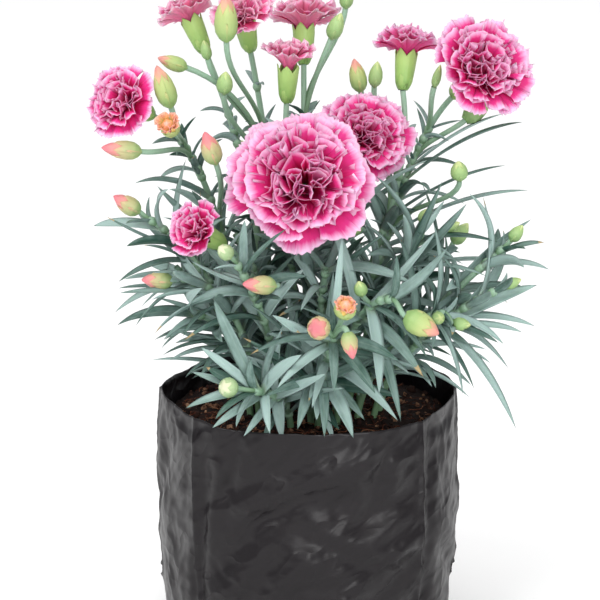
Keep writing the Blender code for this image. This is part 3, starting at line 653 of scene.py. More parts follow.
# Lower shoots: where each ends in mm, the way it faces there, and the same values as above
SHOOTS = (
    (
        "low_left_bud", (-73, -20, 207), (-0.8, 0, 0.5), 2, 44, 15,
        (Bud((-83, -20, 214), (-0.85, 0, 0.55), 14, 8.5, 1, Stage.SALMON),),
        ((0.8, (-92, -24, 209), -5, 3.5, 30), (0.7, (-79, -24, 200), 4, 4.5, 20)),
    ),
    (
        "left_bud", (-58, -32, 182), (-1, 0, 0.05), 2, 48, 60,
        (Bud((-69, -32, 181), (-1, 0, 0.05), 14, 8.5, 1, Stage.SALMON),),
        ((0.75, (-71, -40, 174), 3, 5, 40), (0.7, (-70, -36, 157), 8, 5, 40)),
    ),
    (
        "front_left_buds", (-32, -56, 195), (-0.4, -0.5, 0.75), 2, 48, 0,
        (
            Bud((-37, -62, 202), (-0.5, -0.6, 0.6), 9, 7, 1, Stage.CREAM),
            Bud((-22, -63, 187), (-0.97, -0.2, 0.1), 15, 8.5, 0.8, Stage.SALMON),
        ),
        ((0.9, (-27, -52, 216), 2, 4.5, 30), (0.85, (-52, -56, 196), -5, 4, 20)),
    ),
    (
        "front_buds", (11, -70, 165), (0.1, -0.8, 0.6), 1, 50, 45,
        (
            Bud((4, -84, 173), (-0.3, -0.9, 0.25), 10, 10.5, 0.97, Stage.SALMON),
            Bud((16, -80, 181), (0.1, -0.7, 0.7), 9, 10, 0.97, Stage.OPENING),
            Bud((18, -88, 166), (0.2, -0.5, -0.85), 12, 7, 0.98, Stage.SALMON),
        ),
        (
            (0.93, (-26, -74, 158), 6, 6, 50), (0.9, (-14, -86, 146), 2, 6, 40),
            (0.95, (11, -92, 146), 4, 4.5, 0), (0.93, (29, -90, 145), 3, 6, 0),
            (0.9, (40, -78, 156), 7, 5.5, 40),
        ),
    ),
    (
        "front_right_bud", (37, -62, 180), (0.6, -0.6, 0.1), 1, 50, 80,
        (
            Bud((50, -72, 171), (0.85, -0.3, -0.4), 17, 11, 1, Stage.FLUSHED),
            Bud((23, -57, 184), (-0.2, -0.4, 0.8), 8, 6, 0.8),
        ),
        ((0.8, (31, -78, 141), 5, 7, 0), (0.7, (41, -74, 127), 10, 6, 10)),
    ),
    (
        "low_front_left", (-24, -66, 139), (-0.5, -0.5, 0.2), 1, 44, 30,
        (Bud((-36, -74, 143), (-0.5, -0.8, 0.3), 9, 9, 1, Stage.CREAM),),
        (
            (0.96, (-42, -62, 180), 5, 6.5, 20), (0.9, (-3, -84, 161), 3, 6, 20),
            (0.85, (-17, -82, 124), 7, 5.5, 0), (0.97, (-55, -67, 131), 3, 5.5, 30),
            (0.95, (-48, -62, 158), 2, 4.5, 30), (0.95, (-41, -86, 132), 3, 5, 0),
        ),
    ),
    (
        "low_front", (6, -56, 142), (0.1, -0.9, 0.5), 1, 46, 50, (),
        (
            (0.95, (7, -75, 120), 10, 5.5, 0), (0.9, (20, -70, 118), 9, 7.5, 0),
            (0.8, (-5, -76, 124), 9, 6, 0), (0.85, (28, -74, 122), 9, 5, 10),
            (0.9, (3, -84, 134), 6, 3.5, 0),
        ),
    ),
    (
        "right_buds", (52, -18, 200), (0.5, -0.3, 0.8), 2, 48, 25,
        (
            Bud((53, -22, 209), (0.3, -0.4, 0.85), 8, 5.5, 1),
            Bud((66, -14, 202), (0.8, -0.3, 0.5), 9, 5, 0.85),
        ),
        ((0.7, (60, -36, 228), -10, 6, 60), (0.75, (72, -24, 215), -9, 6.5, 60)),
    ),
    (
        "low_right_buds", (62, -34, 166), (0.8, -0.4, 0.2), 1, 50, 5,
        (
            Bud((70, -38, 162), (0.9, -0.3, 0), 8, 6, 1),
            Bud((59, -42, 166), (0.2, -0.9, 0.2), 7, 6, 0.9),
        ),
        (
            (0.85, (95, -44, 114), 12, 6, 20), (0.9, (70, -50, 132), 8, 4.5, 0),
            (0.95, (92, -34, 147), 7, 4, 30), (0.8, (76, -38, 131), 9, 4, 10),
        ),
    ),
    (
        "right_long", (90, -14, 192), (0.75, 0, 0.7), 2, 46, 50,
        (Bud((96, -14, 199), (0.6, 0, 0.8), 9, 6, 1),),
        (
            (0.93, (111, -16, 207), 3, 4.5, 40), (0.6, (103, -8, 204), 8, 4, 40),
            (0.85, (112, -8, 180), 5, 4, 30),
        ),
    ),
    (
        "right_low_long", (86, -24, 174), (0.85, 0, 0.4), 2, 50, 20,
        (Bud((94, -24, 178), (0.9, 0, 0.4), 8, 5, 1),),
        (
            (0.6, (115, -26, 186), 3, 7, 40), (0.7, (110, -24, 158), 5, 4.5, 30),
            (0.6, (98, -30, 156), 5, 5.5, 30), (0.8, (113, -20, 166), 4, 4, 40),
        ),
    ),
    (
        "left_leafy", (-52, -30, 165), (-0.7, -0.3, 0.3), 3, 52, 35, (),
        (
            (0.6, (-67, -30, 145), 6, 5, 30), (0.7, (-65, -50, 158), 6, 5.5, 40),
            (0.5, (-56, -42, 138), 7, 6, 20),
        ),
    ),
    ("left_back_leafy", (-62, 6, 178), (-0.8, 0.1, 0.5), 3, 50, 70, (), ()),
    (
        "back_left_leafy", (-46, 42, 172), (-0.6, 0.6, 0.5), 3, 52, 20,
        (Bud((-53, 49, 181), (-0.5, 0.5, 0.7), 13, 8, 1),), (),
    ),
    ("back_leafy", (-12, 58, 176), (-0.2, 0.85, 0.5), 3, 52, 55, (), ()),
    (
        "back_bud", (16, 48, 205), (0.1, 0.5, 0.85), 3, 46, 10,
        (Bud((18, 56, 220), (0.1, 0.45, 0.9), 15, 9, 1),), (),
    ),
    ("back_right_leafy", (40, 50, 170), (0.5, 0.7, 0.45), 3, 52, 80, (), ()),
    (
        "right_back_leafy", (66, 24, 180), (0.8, 0.4, 0.5), 3, 50, 40,
        (Bud((73, 28, 189), (0.6, 0.3, 0.75), 12, 7.5, 1),), (),
    ),
    (
        "mid_back", (-26, 30, 212), (-0.3, 0.5, 0.8), 2, 44, 65,
        (Bud((-30, 36, 226), (-0.3, 0.4, 0.85), 14, 8.5, 1),), (),
    ),
    ("mid_right", (36, -4, 190), (0.4, -0.1, 0.9), 2, 50, 15, (), ()),
    ("mid_left", (-34, -4, 196), (-0.5, -0.2, 0.85), 2, 50, 50, (), ()),
    ("mid_front", (8, -30, 186), (0.1, -0.6, 0.8), 2, 50, 5, (), ()),
)


# How finely the shown surfaces are divided
LEAF_ROWS = 16
LEAF_ACROSS = (-1.0, -0.55, 0.0, 0.55, 1.0)
PETAL_ROWS = 13
PETAL_ACROSS = 25
STEM_ROWS = 45
STEM_SIDES = 10
STALK_ROWS = 14
CUP_SIDES = 40
CUP_ROWS = 14

# Fine forms that the solids leave out: depths as shares of a radius
RIBS = 5
STEM_FLUTES = 0.03
COLLAR_HALF = 2.3 * MM
PETAL_THICKNESS = 0.28 * MM
CUP_FLUTES = 0.025
SCALE_FOOT = 0.9
# Shown calyx and bud: shares of the length and of the radius
CALYX_SHOWN = ((0.0, 0.36), (0.06, 0.52), (0.22, 0.8), (0.7, 0.97), (1.0, 1.04), (1.25, 1.14))
BUD_SHOWN = (
    (0.0, 0.38), (0.05, 0.62), (0.18, 0.92), (0.36, 1.0), (0.58, 0.9), (0.76, 0.64), (0.9, 0.34), (1.0, 0.08),
)
# How far up a bud its calyx reaches, as a share of its length
BUD_COVERED = {
    Stage.GREEN: 0.8, Stage.FLUSHED: 0.68, Stage.SALMON: 0.6, Stage.CREAM: 0.72, Stage.OPENING: 0.62,
}


def unit(rows: np.ndarray) -> np.ndarray:
    """Vectors of an array, made one long."""
    return rows / np.maximum(np.linalg.norm(rows, axis=-1, keepdims=True), 1e-12)


class Skin:
    """Gathers the surfaces of one piece and turns them into one mesh."""

    def __init__(self, name: str, finishes: Sequence[bpy.types.Material]) -> None:
        """Starts empty.

        Args:
            name: The piece's name.
            finishes: Its materials, which the surfaces name by place in this list.
        """
        self.name = name
        self.finishes = list(finishes)
        self.points: list[np.ndarray] = []
        self.marks: list[np.ndarray] = []
        self.tones: list[np.ndarray] = []
        self.faces: list[tuple[int, ...]] = []
        self.slots: list[int] = []
        self.count = 0

    def wrap(self, points: np.ndarray, marks: np.ndarray, slots: Sequence[int] | int,
             tone: tuple[float, float], tip: bool = False) -> None:
        """Adds a surface of rows and columns.

        Args:
            points: Rows by columns by three, in metres.
            marks: Rows by columns by two: across and along, for the pattern.
            slots: The material of each column of faces, or of all.
            tone: Two values that hold for the whole surface.
            tip: Whether the last row is drawn in to its first point.
        """
        rows, cols = points.shape[:2]
        if tip:
            points = np.concatenate([points[:-1].reshape(-1, 3), points[-1, :1]])
            marks = np.concatenate([marks[:-1].reshape(-1, 2), marks[-1, :1]])
            rows -= 1
        self.points.append(points.reshape(-1, 3))
        self.marks.append(marks.reshape(-1, 2))
        self.tones.append(np.tile(tone, (self.points[-1].shape[0], 1)))
        chosen = [slots] * cols if isinstance(slots, int) else list(slots)
        for row in range(rows - 1):
            low = self.count + row * cols
            for i in range(cols):
                j = (i + 1) % cols
                self.faces.append((low + i, low + j, low + cols + j, low + cols + i))
                self.slots.append(chosen[i])
        if tip:
            low = self.count + (rows - 1) * cols
            for i in range(cols):
                self.faces.append((low + i, low + (i + 1) % cols, self.count + rows * cols))
                self.slots.append(chosen[i])
        self.count += self.points[-1].shape[0]

    def solid(self, points: np.ndarray, faces: np.ndarray, slot: int, tone: tuple[float, float]) -> None:
        """Adds a body given by its points and triangles.

        Args:
            points: Its points, rows by three, in metres.
            faces: Three places in that list for each triangle.
            slot: Its material's place in the piece.
            tone: Two values that hold for the whole body.
        """
        self.points.append(points)
        self.marks.append(np.tile((0.5, 0.5), (len(points), 1)))
        self.tones.append(np.tile(tone, (len(points), 1)))
        self.faces.extend(tuple(int(i) + self.count for i in face) for face in faces)
        self.slots.extend([slot] * len(faces))
        self.count += len(points)

    def finish(self, stands_for: Sequence[str], slot: str, smooth: bool = True) -> bpy.types.Object:
        """Makes the object, puts it on the frame and hides the solids that it stands for.

        Args:
            stands_for: The solids that it replaces.
            slot: Not used.
            smooth: Whether its faces are shaded as one surface.

        Returns:
            The object.
        """
        mesh = bpy.data.meshes.new(self.name)
        mesh.from_pydata(np.concatenate(self.points).tolist(), [], self.faces)
        for finish in self.finishes:
            mesh.materials.append(finish)
        mesh.polygons.foreach_set("material_index", self.slots)
        corners = np.empty(len(mesh.loops), dtype=np.int32)
        mesh.loops.foreach_get("vertex_index", corners)
        for layer, values in (("pattern", self.marks), ("tone", self.tones)):
            at_corners = np.concatenate(values)[corners].astype(np.float32)
            mesh.uv_layers.new(name=layer).data.foreach_set("uv", at_corners.ravel())
        mesh.polygons.foreach_set("use_smooth", [smooth] * len(mesh.polygons))
        mesh.update()
        made = bpy.data.objects.new(self.name, mesh)
        bpy.context.scene.collection.objects.link(made)
        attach(made, BODY)
        if stands_for:
            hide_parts(*stands_for)
        LOG.info("%s: %d faces", self.name, len(mesh.polygons))
        return made


def leaf_surface(leaf: Leaf, wide: float = 0.62, rows: int = LEAF_ROWS) -> tuple[np.ndarray, np.ndarray]:
    """The fine form of a leaf: channelled above, keeled below, drawn out to a point.

    Args:
        leaf: The leaf.
        wide: Width at its foot, as a share of its widest.
        rows: Rows along it.

    Returns:
        Points and marks.
    """
    t = np.linspace(0, 1, rows) ** 0.92
    a, b, c = (np.array(point) for point in (leaf.start, leaf.middle, leaf.end))
    s = 1 - t
    centre = a * (s * s)[:, None] + b * (2 * s * t)[:, None] + c * (t * t)[:, None]
    ahead = unit((b - a) * s[:, None] + (c - b) * t[:, None])
    side = np.array(leaf.side)
    side = unit(side - ahead * (ahead @ side)[:, None])
    turn = (math.radians(leaf.roll) * (0.4 + 0.6 * t))[:, None]
    side = side * np.cos(turn) + np.cross(ahead, side) * np.sin(turn)
    face = np.cross(ahead, side)
    swell = wide + (1 - wide) * np.sin(math.pi * np.minimum(0.5, t / 0.76))
    half = leaf.width * MM * 0.5 * swell * (1 - t ** 4.6)
    top = np.array(LEAF_ACROSS)
    under = top[-2:0:-1]
    u = np.concatenate([top, under])
    fold = (0.30 + 0.25 * t)[:, None] * np.abs(u)[None, :] ** 1.4 * half[:, None]
    thick = (0.34 + 0.4 * (1 - t)[:, None] * np.exp(-(u / 0.3) ** 2)[None, :]) * MM
    drop = np.where(np.arange(len(u)) >= len(top), 1.0, 0.0)[None, :] * thick * (1 - t ** 6)[:, None]
    points = (centre[:, None, :] + side[:, None, :] * (u[None, :] * half[:, None])[..., None]
              + face[:, None, :] * (fold - drop)[..., None])
    marks = np.stack(np.broadcast_arrays((u[None, :] + 1) / 2, t[:, None]), axis=-1)
    return points, marks


def round_surface(line: np.ndarray, radii: np.ndarray, sides: int, flutes: float | np.ndarray = 0.0,
                  twist: float = 0.0) -> tuple[np.ndarray, np.ndarray]:
    """A round form along a line of points.

    Args:
        line: The points, rows by three.
        radii: The radius at each.
        sides: Columns round it.
        flutes: Depth of its ribs as a share of the radius, one value or one a row.
        twist: Turns of the ribs from foot to top.

    Returns:
        Points and marks.
    """
    ahead = unit(np.gradient(line, axis=0))
    side = np.zeros_like(ahead)
    side[0] = np.array(Vector(ahead[0]).orthogonal().normalized())
    for i in range(1, len(line)):
        side[i] = side[i - 1] - ahead[i] * (side[i - 1] @ ahead[i])
        side[i] /= np.linalg.norm(side[i])
    over = np.cross(ahead, side)
    angle = np.linspace(0, math.tau, sides, endpoint=False)
    along = np.linspace(0, 1, len(line))
    ribs = np.cos(RIBS * (angle[None, :] + along[:, None] * twist * math.tau))
    rib = 1 + np.broadcast_to(flutes, along.shape)[:, None] * ribs
    reach = radii[:, None] * rib
    points = (line[:, None, :] + side[:, None, :] * (np.cos(angle)[None, :] * reach)[..., None]
              + over[:, None, :] * (np.sin(angle)[None, :] * reach)[..., None])
    marks = np.stack(np.broadcast_arrays(angle[None, :] / math.tau, along[:, None]), axis=-1)
    return points, marks


@dataclass(frozen=True)
class Petal:
    """One petal about its bloom's axis: turn and rises in degrees, sizes in metres."""

    turn: float
    start: float
    length: float
    width: float
    rise_from: float
    rise_to: float
    ruffle: float
    waves: float
    phase: float
    lift: float
    cup: float = 0.0
    crimp: float = 0.014

    def surface(self) -> tuple[np.ndarray, np.ndarray, list[int]]:
        """A fan on a narrow claw, ruffled towards a toothed rim.

        Returns:
            Points, marks, and for each column 0 on the face and 1 on the back.
        """
        fine = np.linspace(0, 1.15, 70)
        bend = np.radians(self.rise_from + (self.rise_to - self.rise_from) * np.clip(fine, 0, 1) ** 0.8)
        step = self.length * (fine[1] - fine[0])
        out = self.start + np.concatenate([[0], np.cumsum(np.cos(bend[:-1]))]) * step
        up = self.lift + np.concatenate([[0], np.cumsum(np.sin(bend[:-1]))]) * step
        rows = np.linspace(0, 1, PETAL_ROWS) ** 0.8
        v, u = np.meshgrid(rows, np.linspace(-1, 1, PETAL_ACROSS), indexing="ij")
        half = self.width * 0.5 * (0.15 + 0.85 * v ** 1.2)
        teeth = np.where(np.arange(PETAL_ACROSS) % 2, 1.0, -1.0)[None, :]
        teeth = teeth * (0.6 + 0.4 * np.sin(self.phase * 3 + 5 * u))
        outline = 1 - 0.2 * u ** 2 * v ** 2 + 0.03 * np.sin(3.1 * u + self.phase)
        along = v * outline + teeth * self.crimp * v ** 8
        wave = np.sin(math.pi * self.waves * u + self.phase)
        ripple = np.sin(math.pi * self.waves * 2.37 * u + self.phase * 1.7)
        rise = self.ruffle * (v ** 1.6 * wave + 0.42 * v ** 3 * ripple) + self.cup * self.width * u ** 2 * v
        sway = np.sin(math.pi * self.waves * 2 * u + self.phase * 2) * (1 - u ** 2)
        across = half * u + self.ruffle * 0.6 * v ** 2 * sway
        slope = np.interp(along, fine, bend)
        radial = np.interp(along, fine, out) - rise * np.sin(slope)
        height = np.interp(along, fine, up) + rise * np.cos(slope)
        turn = math.radians(self.turn)
        face = np.stack([radial * math.cos(turn) - across * math.sin(turn),
                         radial * math.sin(turn) + across * math.cos(turn), height], axis=-1)
        normal = unit(np.cross(np.gradient(face, axis=1), np.gradient(face, axis=0)))
        slim = PETAL_THICKNESS * (1 - v ** 14) * (1 - u ** 16)
        back = face + normal * slim[..., None]
        points = np.concatenate([face, back[:, ::-1]], axis=1)
        marks = np.stack([(u + 1) / 2, v], axis=-1)
        marks = np.concatenate([marks, marks[:, ::-1]], axis=1)
        return points, marks, [0] * PETAL_ACROSS + [1] * PETAL_ACROSS


def placed(points: np.ndarray, place: Matrix) -> np.ndarray:
    """Points moved by a matrix."""
    matrix = np.array(place)
    return points @ matrix[:3, :3].T + matrix[:3, 3]


def linear(code: str) -> tuple[float, float, float, float]:
    """An sRGB hex colour in linear light.

    Args:
        code: Six hex digits.

    Returns:
        Red, green, blue and an alpha of one.
    """
    shares = [int(code[i:i + 2], 16) / 255 for i in (0, 2, 4)]
    red, green, blue = (c / 12.92 if c <= 0.04045 else ((c + 0.055) / 1.055) ** 2.4 for c in shares)
    return red, green, blue, 1.0


def node(tree: bpy.types.NodeTree, kind: str, inputs: dict | None = None, **settings) -> bpy.types.Node:
    """Adds a node with its settings and links.

    Args:
        tree: The node tree.
        kind: The node's type.
        inputs: Values or sockets for its inputs, by name or place.
        **settings: Values of its attributes.

    Returns:
        The node.
    """
    made = tree.nodes.new(kind)
    for name, value in settings.items():
        setattr(made, name, value)
    for name, value in (inputs or {}).items():
        if isinstance(value, bpy.types.NodeSocket):
            tree.links.new(value, made.inputs[name])
        else:
            made.inputs[name].default_value = value
    return made


def ramp(tree: bpy.types.NodeTree, factor: bpy.types.NodeSocket,
         stops: Sequence[tuple[float, str]]) -> bpy.types.NodeSocket:
    """A colour that changes with a value.

    Args:
        tree: The node tree.
        factor: The value.
        stops: Values and the hex colour at each, in order.

    Returns:
        The colour.
    """
    made = node(tree, "ShaderNodeValToRGB", {0: factor})
    band = made.color_ramp
    while len(band.elements) < len(stops):
        band.elements.new(0.5)
    for element, (place, code) in zip(band.elements, stops):
        element.position = place
        element.color = linear(code)
    return made.outputs[0]


def maths(tree: bpy.types.NodeTree, operation: str, *values) -> bpy.types.NodeSocket:
    """The result of a sum on numbers or sockets."""
    return node(tree, "ShaderNodeMath", dict(enumerate(values)), operation=operation).outputs[0]


def blend(tree: bpy.types.NodeTree, factor, first, second, mode: str = "MIX") -> bpy.types.NodeSocket:
    """One colour laid over another.

    Args:
        tree: The node tree.
        factor: How much of the second.
        first: A colour.
        second: A colour.
        mode: How they are combined.

    Returns:
        The colour.
    """
    made = node(tree, "ShaderNodeMix", {0: factor, 6: first, 7: second}, data_type="RGBA", blend_type=mode)
    return made.outputs[2]


# What one unit of the coordinates measures in mm: a metre for places on the plant, or the width and
# length of a surface. Petals and leaves are those of the main bloom and of a full pair: on a smaller
# one the pattern shrinks in step
METRE = (1000.0, 1000.0, 1000.0)
PETAL_WHOLE = (26.0, 33.0)
LEAF_WHOLE = (6.0, 50.0)
CALYX_WHOLE = (35.0, 19.0)
# Moves the noise of one surface well away from the next one's
SEED_SPREAD = (37.0, 53.0, 71.0)


@dataclass(frozen=True)
class Spots:
    """Noise whose cells have a real size: sizes and the whole that they divide, both in mm."""

    size: tuple[float, ...]
    whole: tuple[float, ...]
    detail: float = 3.0
    sharp: float = 0.55

    def value(self, tree: bpy.types.NodeTree, place: bpy.types.NodeSocket,
              seed: bpy.types.NodeSocket | float) -> bpy.types.NodeSocket:
        """The noise as a value from 0 to 1.

        Args:
            tree: The node tree.
            place: The coordinates.
            seed: What tells one surface from the next.

        Returns:
            The value.
        """
        cells = [length / cell for length, cell in zip(self.whole, self.size)]
        # A surface's own coordinates have no third one, so its scale doesn't matter
        scales = tuple(cells + [1.0] * (3 - len(cells)))
        apart = node(tree, "ShaderNodeCombineXYZ", {0: seed, 1: seed, 2: seed}).outputs[0]
        moved, spread = (
            node(tree, "ShaderNodeVectorMath", {0: value, 1: scale}, operation="MULTIPLY").outputs[0]
            for value, scale in ((place, scales), (apart, SEED_SPREAD)))
        there = node(tree, "ShaderNodeVectorMath", {0: moved, 1: spread}, operation="ADD").outputs[0]
        inputs = {"Vector": there, "Scale": 1.0, "Detail": self.detail, "Roughness": self.sharp}
        return node(tree, "ShaderNodeTexNoise", inputs).outputs[0]


class Surface:
    """A material under construction: its tree, the pattern's coordinates and its two tones."""

    def __init__(self, name: str) -> None:
        """Starts a material with the coordinates that every finish needs.

        Args:
            name: The material's name.
        """
        self.material = bpy.data.materials.new(name)
        self.material.use_nodes = True
        self.tree = self.material.node_tree
        self.tree.nodes.clear()
        self.pattern = node(self.tree, "ShaderNodeUVMap", uv_map="pattern").outputs[0]
        split = node(self.tree, "ShaderNodeSeparateXYZ", {0: self.pattern})
        self.across, self.along = split.outputs[0], split.outputs[1]
        tone = node(self.tree, "ShaderNodeUVMap", uv_map="tone").outputs[0]
        tones = node(self.tree, "ShaderNodeSeparateXYZ", {0: tone})
        # The second tone is how old a leaf is, which dries its tip. On a petal it is how far in the petal
        # sits, which darkens it as painted shade of the bloom's hollow centre
        self.chance, self.age = tones.outputs[0], tones.outputs[1]
        self.body = node(self.tree, "ShaderNodeNewGeometry").outputs[0]

    def stirred(self, spots: bpy.types.NodeSocket, reach: float, about) -> bpy.types.NodeSocket:
        """A value moved up and down by a noise, half of reach each way at most."""
        centred = maths(self.tree, "SUBTRACT", spots, 0.5)
        return maths(self.tree, "MULTIPLY_ADD", centred, reach, about)

    def done(self, colour: bpy.types.NodeSocket, roughness, relief: bpy.types.NodeSocket | None = None,
             depth: float = 0.1, **settings) -> bpy.types.Material:
        """Ends the material in one Principled shader.

        Args:
            colour: Its colour.
            roughness: A value or socket.
            relief: Height of the fine relief, from 0 to 1.
            depth: The relief's depth in mm.
            **settings: Other constant inputs, with underscores for spaces.

        Returns:
            The material.
        """
        inputs = {"Base Color": colour, "Roughness": roughness}
        inputs.update({name.replace("_", " "): value for name, value in settings.items()})
        if relief is not None:
            fine = {"Height": relief, "Distance": depth * MM, "Strength": 1.0}
            inputs["Normal"] = node(self.tree, "ShaderNodeBump", fine).outputs[0]
        shader = node(self.tree, "ShaderNodeBsdfPrincipled", inputs)
        node(self.tree, "ShaderNodeOutputMaterial", {0: shader.outputs[0]})
        return self.material


# Light that enters waxy green tissue comes out again close by, a little greener
WAXY = {"Subsurface_Weight": 0.06, "Subsurface_Radius": (0.001, 0.002, 0.0008), "Subsurface_Scale": 0.5}


@dataclass(frozen=True)
class PetalFinish:
    """Velvety petal: darker towards the claw, partly its own colour and partly painted shade of the bloom's
    hollows, streaked into a pale margin.
    """

    name: str
    # Colour at the claw: the petal's own darker colour with painted shade of the bloom's hollows in it
    deep_and_painted_shade: str
    body: str
    bright: str
    margin: str
    edge: float = 0.945

    def material(self) -> bpy.types.Material:
        """The eye sees lengthwise veins, a margin with streaks running into it and a soft sheen.

        Returns:
            The material.
        """
        made = Surface(self.name)
        tree = made.tree
        streak = Spots((1.0, 15.0), PETAL_WHOLE).value(tree, made.pattern, made.chance)
        cloud = Spots((8.7, 16.5), PETAL_WHOLE).value(tree, made.pattern, made.age)
        pulled = made.stirred(cloud, 0.10, made.stirred(streak, 0.15, made.along))
        # Inner petals are pulled a little towards the darker claw colour: painted shade of the bloom's centre
        pulled = maths(tree, "MULTIPLY_ADD", made.age, -0.05, pulled)
        # The claw end of this ramp is partly painted shade
        colour = ramp(tree, pulled, ((0.0, self.deep_and_painted_shade), (0.45, self.body), (self.edge - 0.11, self.bright),
                                     (self.edge + 0.02, self.margin), (1.0, self.margin)))
        # A faint multiply that darkens the inner petals: painted shade
        shade = ramp(tree, made.age, ((0.0, "FFFFFF"), (1.0, "FFF0F6")))
        colour = blend(tree, 0.7, colour, shade, "MULTIPLY")
        return made.done(colour, 0.58, streak, 0.25, Subsurface_Weight=0.3, Subsurface_Scale=0.5,
                         Subsurface_Radius=(0.006, 0.0012, 0.0025), Specular_IOR_Level=0.22)


@dataclass(frozen=True)
class LeafFinish:
    """Waxy blue-green blade with a paler midrib, a pale foot and now and then a dry tip."""

    name: str
    dark: str
    light: str
    foot: str
    dry: str = "A3906A"

    def material(self) -> bpy.types.Material:
        """The eye sees a chalky bloom over green, fine lengthwise lines and a light midrib.

        Returns:
            The material.
        """
        made = Surface(self.name)
        tree = made.tree
        patch = Spots((3.0, 10.0), LEAF_WHOLE).value(tree, made.pattern, made.chance)
        # The lines are finer than a pixel of the whole view, so they show only close up
        lines = Spots((0.15, 33.3), LEAF_WHOLE).value(tree, made.pattern, made.chance)
        mixed = made.stirred(patch, 0.7, made.chance)
        colour = ramp(tree, mixed, ((0.0, self.dark), (0.75, self.light), (1.0, self.light)))
        middle = maths(tree, "ABSOLUTE", maths(tree, "SUBTRACT", made.across, 0.5))
        rib = ramp(tree, middle, ((0.0, "5A5A5A"), (0.07, "000000"), (1.0, "000000")))
        colour = blend(tree, rib, colour, linear("B9CDB4"))
        foot = ramp(tree, made.along, ((0.0, "D0D0D0"), (0.16, "000000"), (1.0, "000000")))
        colour = blend(tree, foot, colour, linear(self.foot))
        late = maths(tree, "MULTIPLY_ADD", made.age, 0.16, made.along)
        tip = ramp(tree, late, ((0.0, "000000"), (0.995, "000000"), (1.0, "FFFFFF")))
        colour = blend(tree, tip, colour, linear(self.dry))
        relief = maths(tree, "MULTIPLY_ADD", patch, 0.4, lines)
        return made.done(colour, 0.5, relief, 0.12, Specular_IOR_Level=0.38, **WAXY)


@dataclass(frozen=True)
class GreenFinish:
    """Calyx, bud or stem: one green turning into another along it, with a chalky bloom."""

    name: str
    foot: str
    top: str
    rough: float = 0.45

    def material(self) -> bpy.types.Material:
        """The eye sees fine ribs and a soft change of colour towards the tip.

        Returns:
            The material.
        """
        made = Surface(self.name)
        tree = made.tree
        # Sized on the main calyx: round a stem the same lines are about a third as wide
        lines = Spots((0.76, 19.0), CALYX_WHOLE).value(tree, made.pattern, made.chance)
        patch = Spots((11.7, 6.3), CALYX_WHOLE).value(tree, made.pattern, made.chance)
        place = made.stirred(patch, 0.5, made.along)
        colour = ramp(tree, place, ((0.1, self.foot), (0.85, self.top)))
        pale = maths(tree, "MULTIPLY", lines, 0.35)
        colour = blend(tree, pale, colour, linear("C5D3C0"), "SOFT_LIGHT")
        return made.done(colour, self.rough, lines, 0.2, Specular_IOR_Level=0.4, **WAXY)


@dataclass(frozen=True)
class FilmFinish:
    """Black polythene film: soft gloss, finely crinkled, dusty where it was handled."""

    name: str
    body: str
    dust: str

    def material(self) -> bpy.types.Material:
        """The eye sees grey sheen along the folds, small crinkles and a few smears of soil dust.

        Returns:
            The material.
        """
        made = Surface(self.name)
        tree = made.tree
        # The folds lean, as on the photo's bag
        tilt = {"Vector": made.body, "Rotation": (0.25, 0.6, 0.0)}
        leaning = node(tree, "ShaderNodeMapping", tilt).outputs[0]
        broad = Spots((58.8, 50.0, 20.8), METRE, 1.3, 0.45).value(tree, leaning, 0.0)
        crinkle = Spots((20.0, 16.7, 9.1), METRE, 1.2, 0.4).value(tree, leaning, 0.2)
        fine = Spots((1.67, 1.67, 1.11), METRE, 3, 0.5).value(tree, made.body, 0.4)
        smear = Spots((28.6, 28.6, 28.6), METRE, 5, 0.65).value(tree, made.body, 0.8)
        dusty = ramp(tree, smear, ((0.0, "000000"), (0.56, "000000"), (0.8, "6E6E6E")))
        colour = blend(tree, dusty, linear(self.body), linear(self.dust))
        rough = maths(tree, "MULTIPLY_ADD", smear, 0.25, 0.25)
        folded = maths(tree, "ABSOLUTE", maths(tree, "SUBTRACT", crinkle, 0.5))
        relief = maths(tree, "MULTIPLY_ADD", fine, 0.003, maths(tree, "MULTIPLY_ADD", folded, -0.2, broad))
        return made.done(colour, rough, relief, 15.0, Specular_IOR_Level=0.27)


@dataclass(frozen=True)
class MixFinish:
    """Damp potting mix: fibres and crumbs from near black to red-brown."""

    name: str
    dark: str
    body: str
    light: str

    def material(self) -> bpy.types.Material:
        """The eye sees grains of many browns with a rough, matt face.

        Returns:
            The material.
        """
        made = Surface(self.name)
        tree = made.tree
        grain = Spots((2.38, 2.38, 2.38), METRE, 5, 0.7).value(tree, made.body, made.chance)
        place = made.stirred(made.chance, 0.6, grain)
        colour = ramp(tree, place, ((0.25, self.dark), (0.6, self.body), (0.95, self.light)))
        return made.done(colour, 0.9, grain, 1.2, Specular_IOR_Level=0.2)


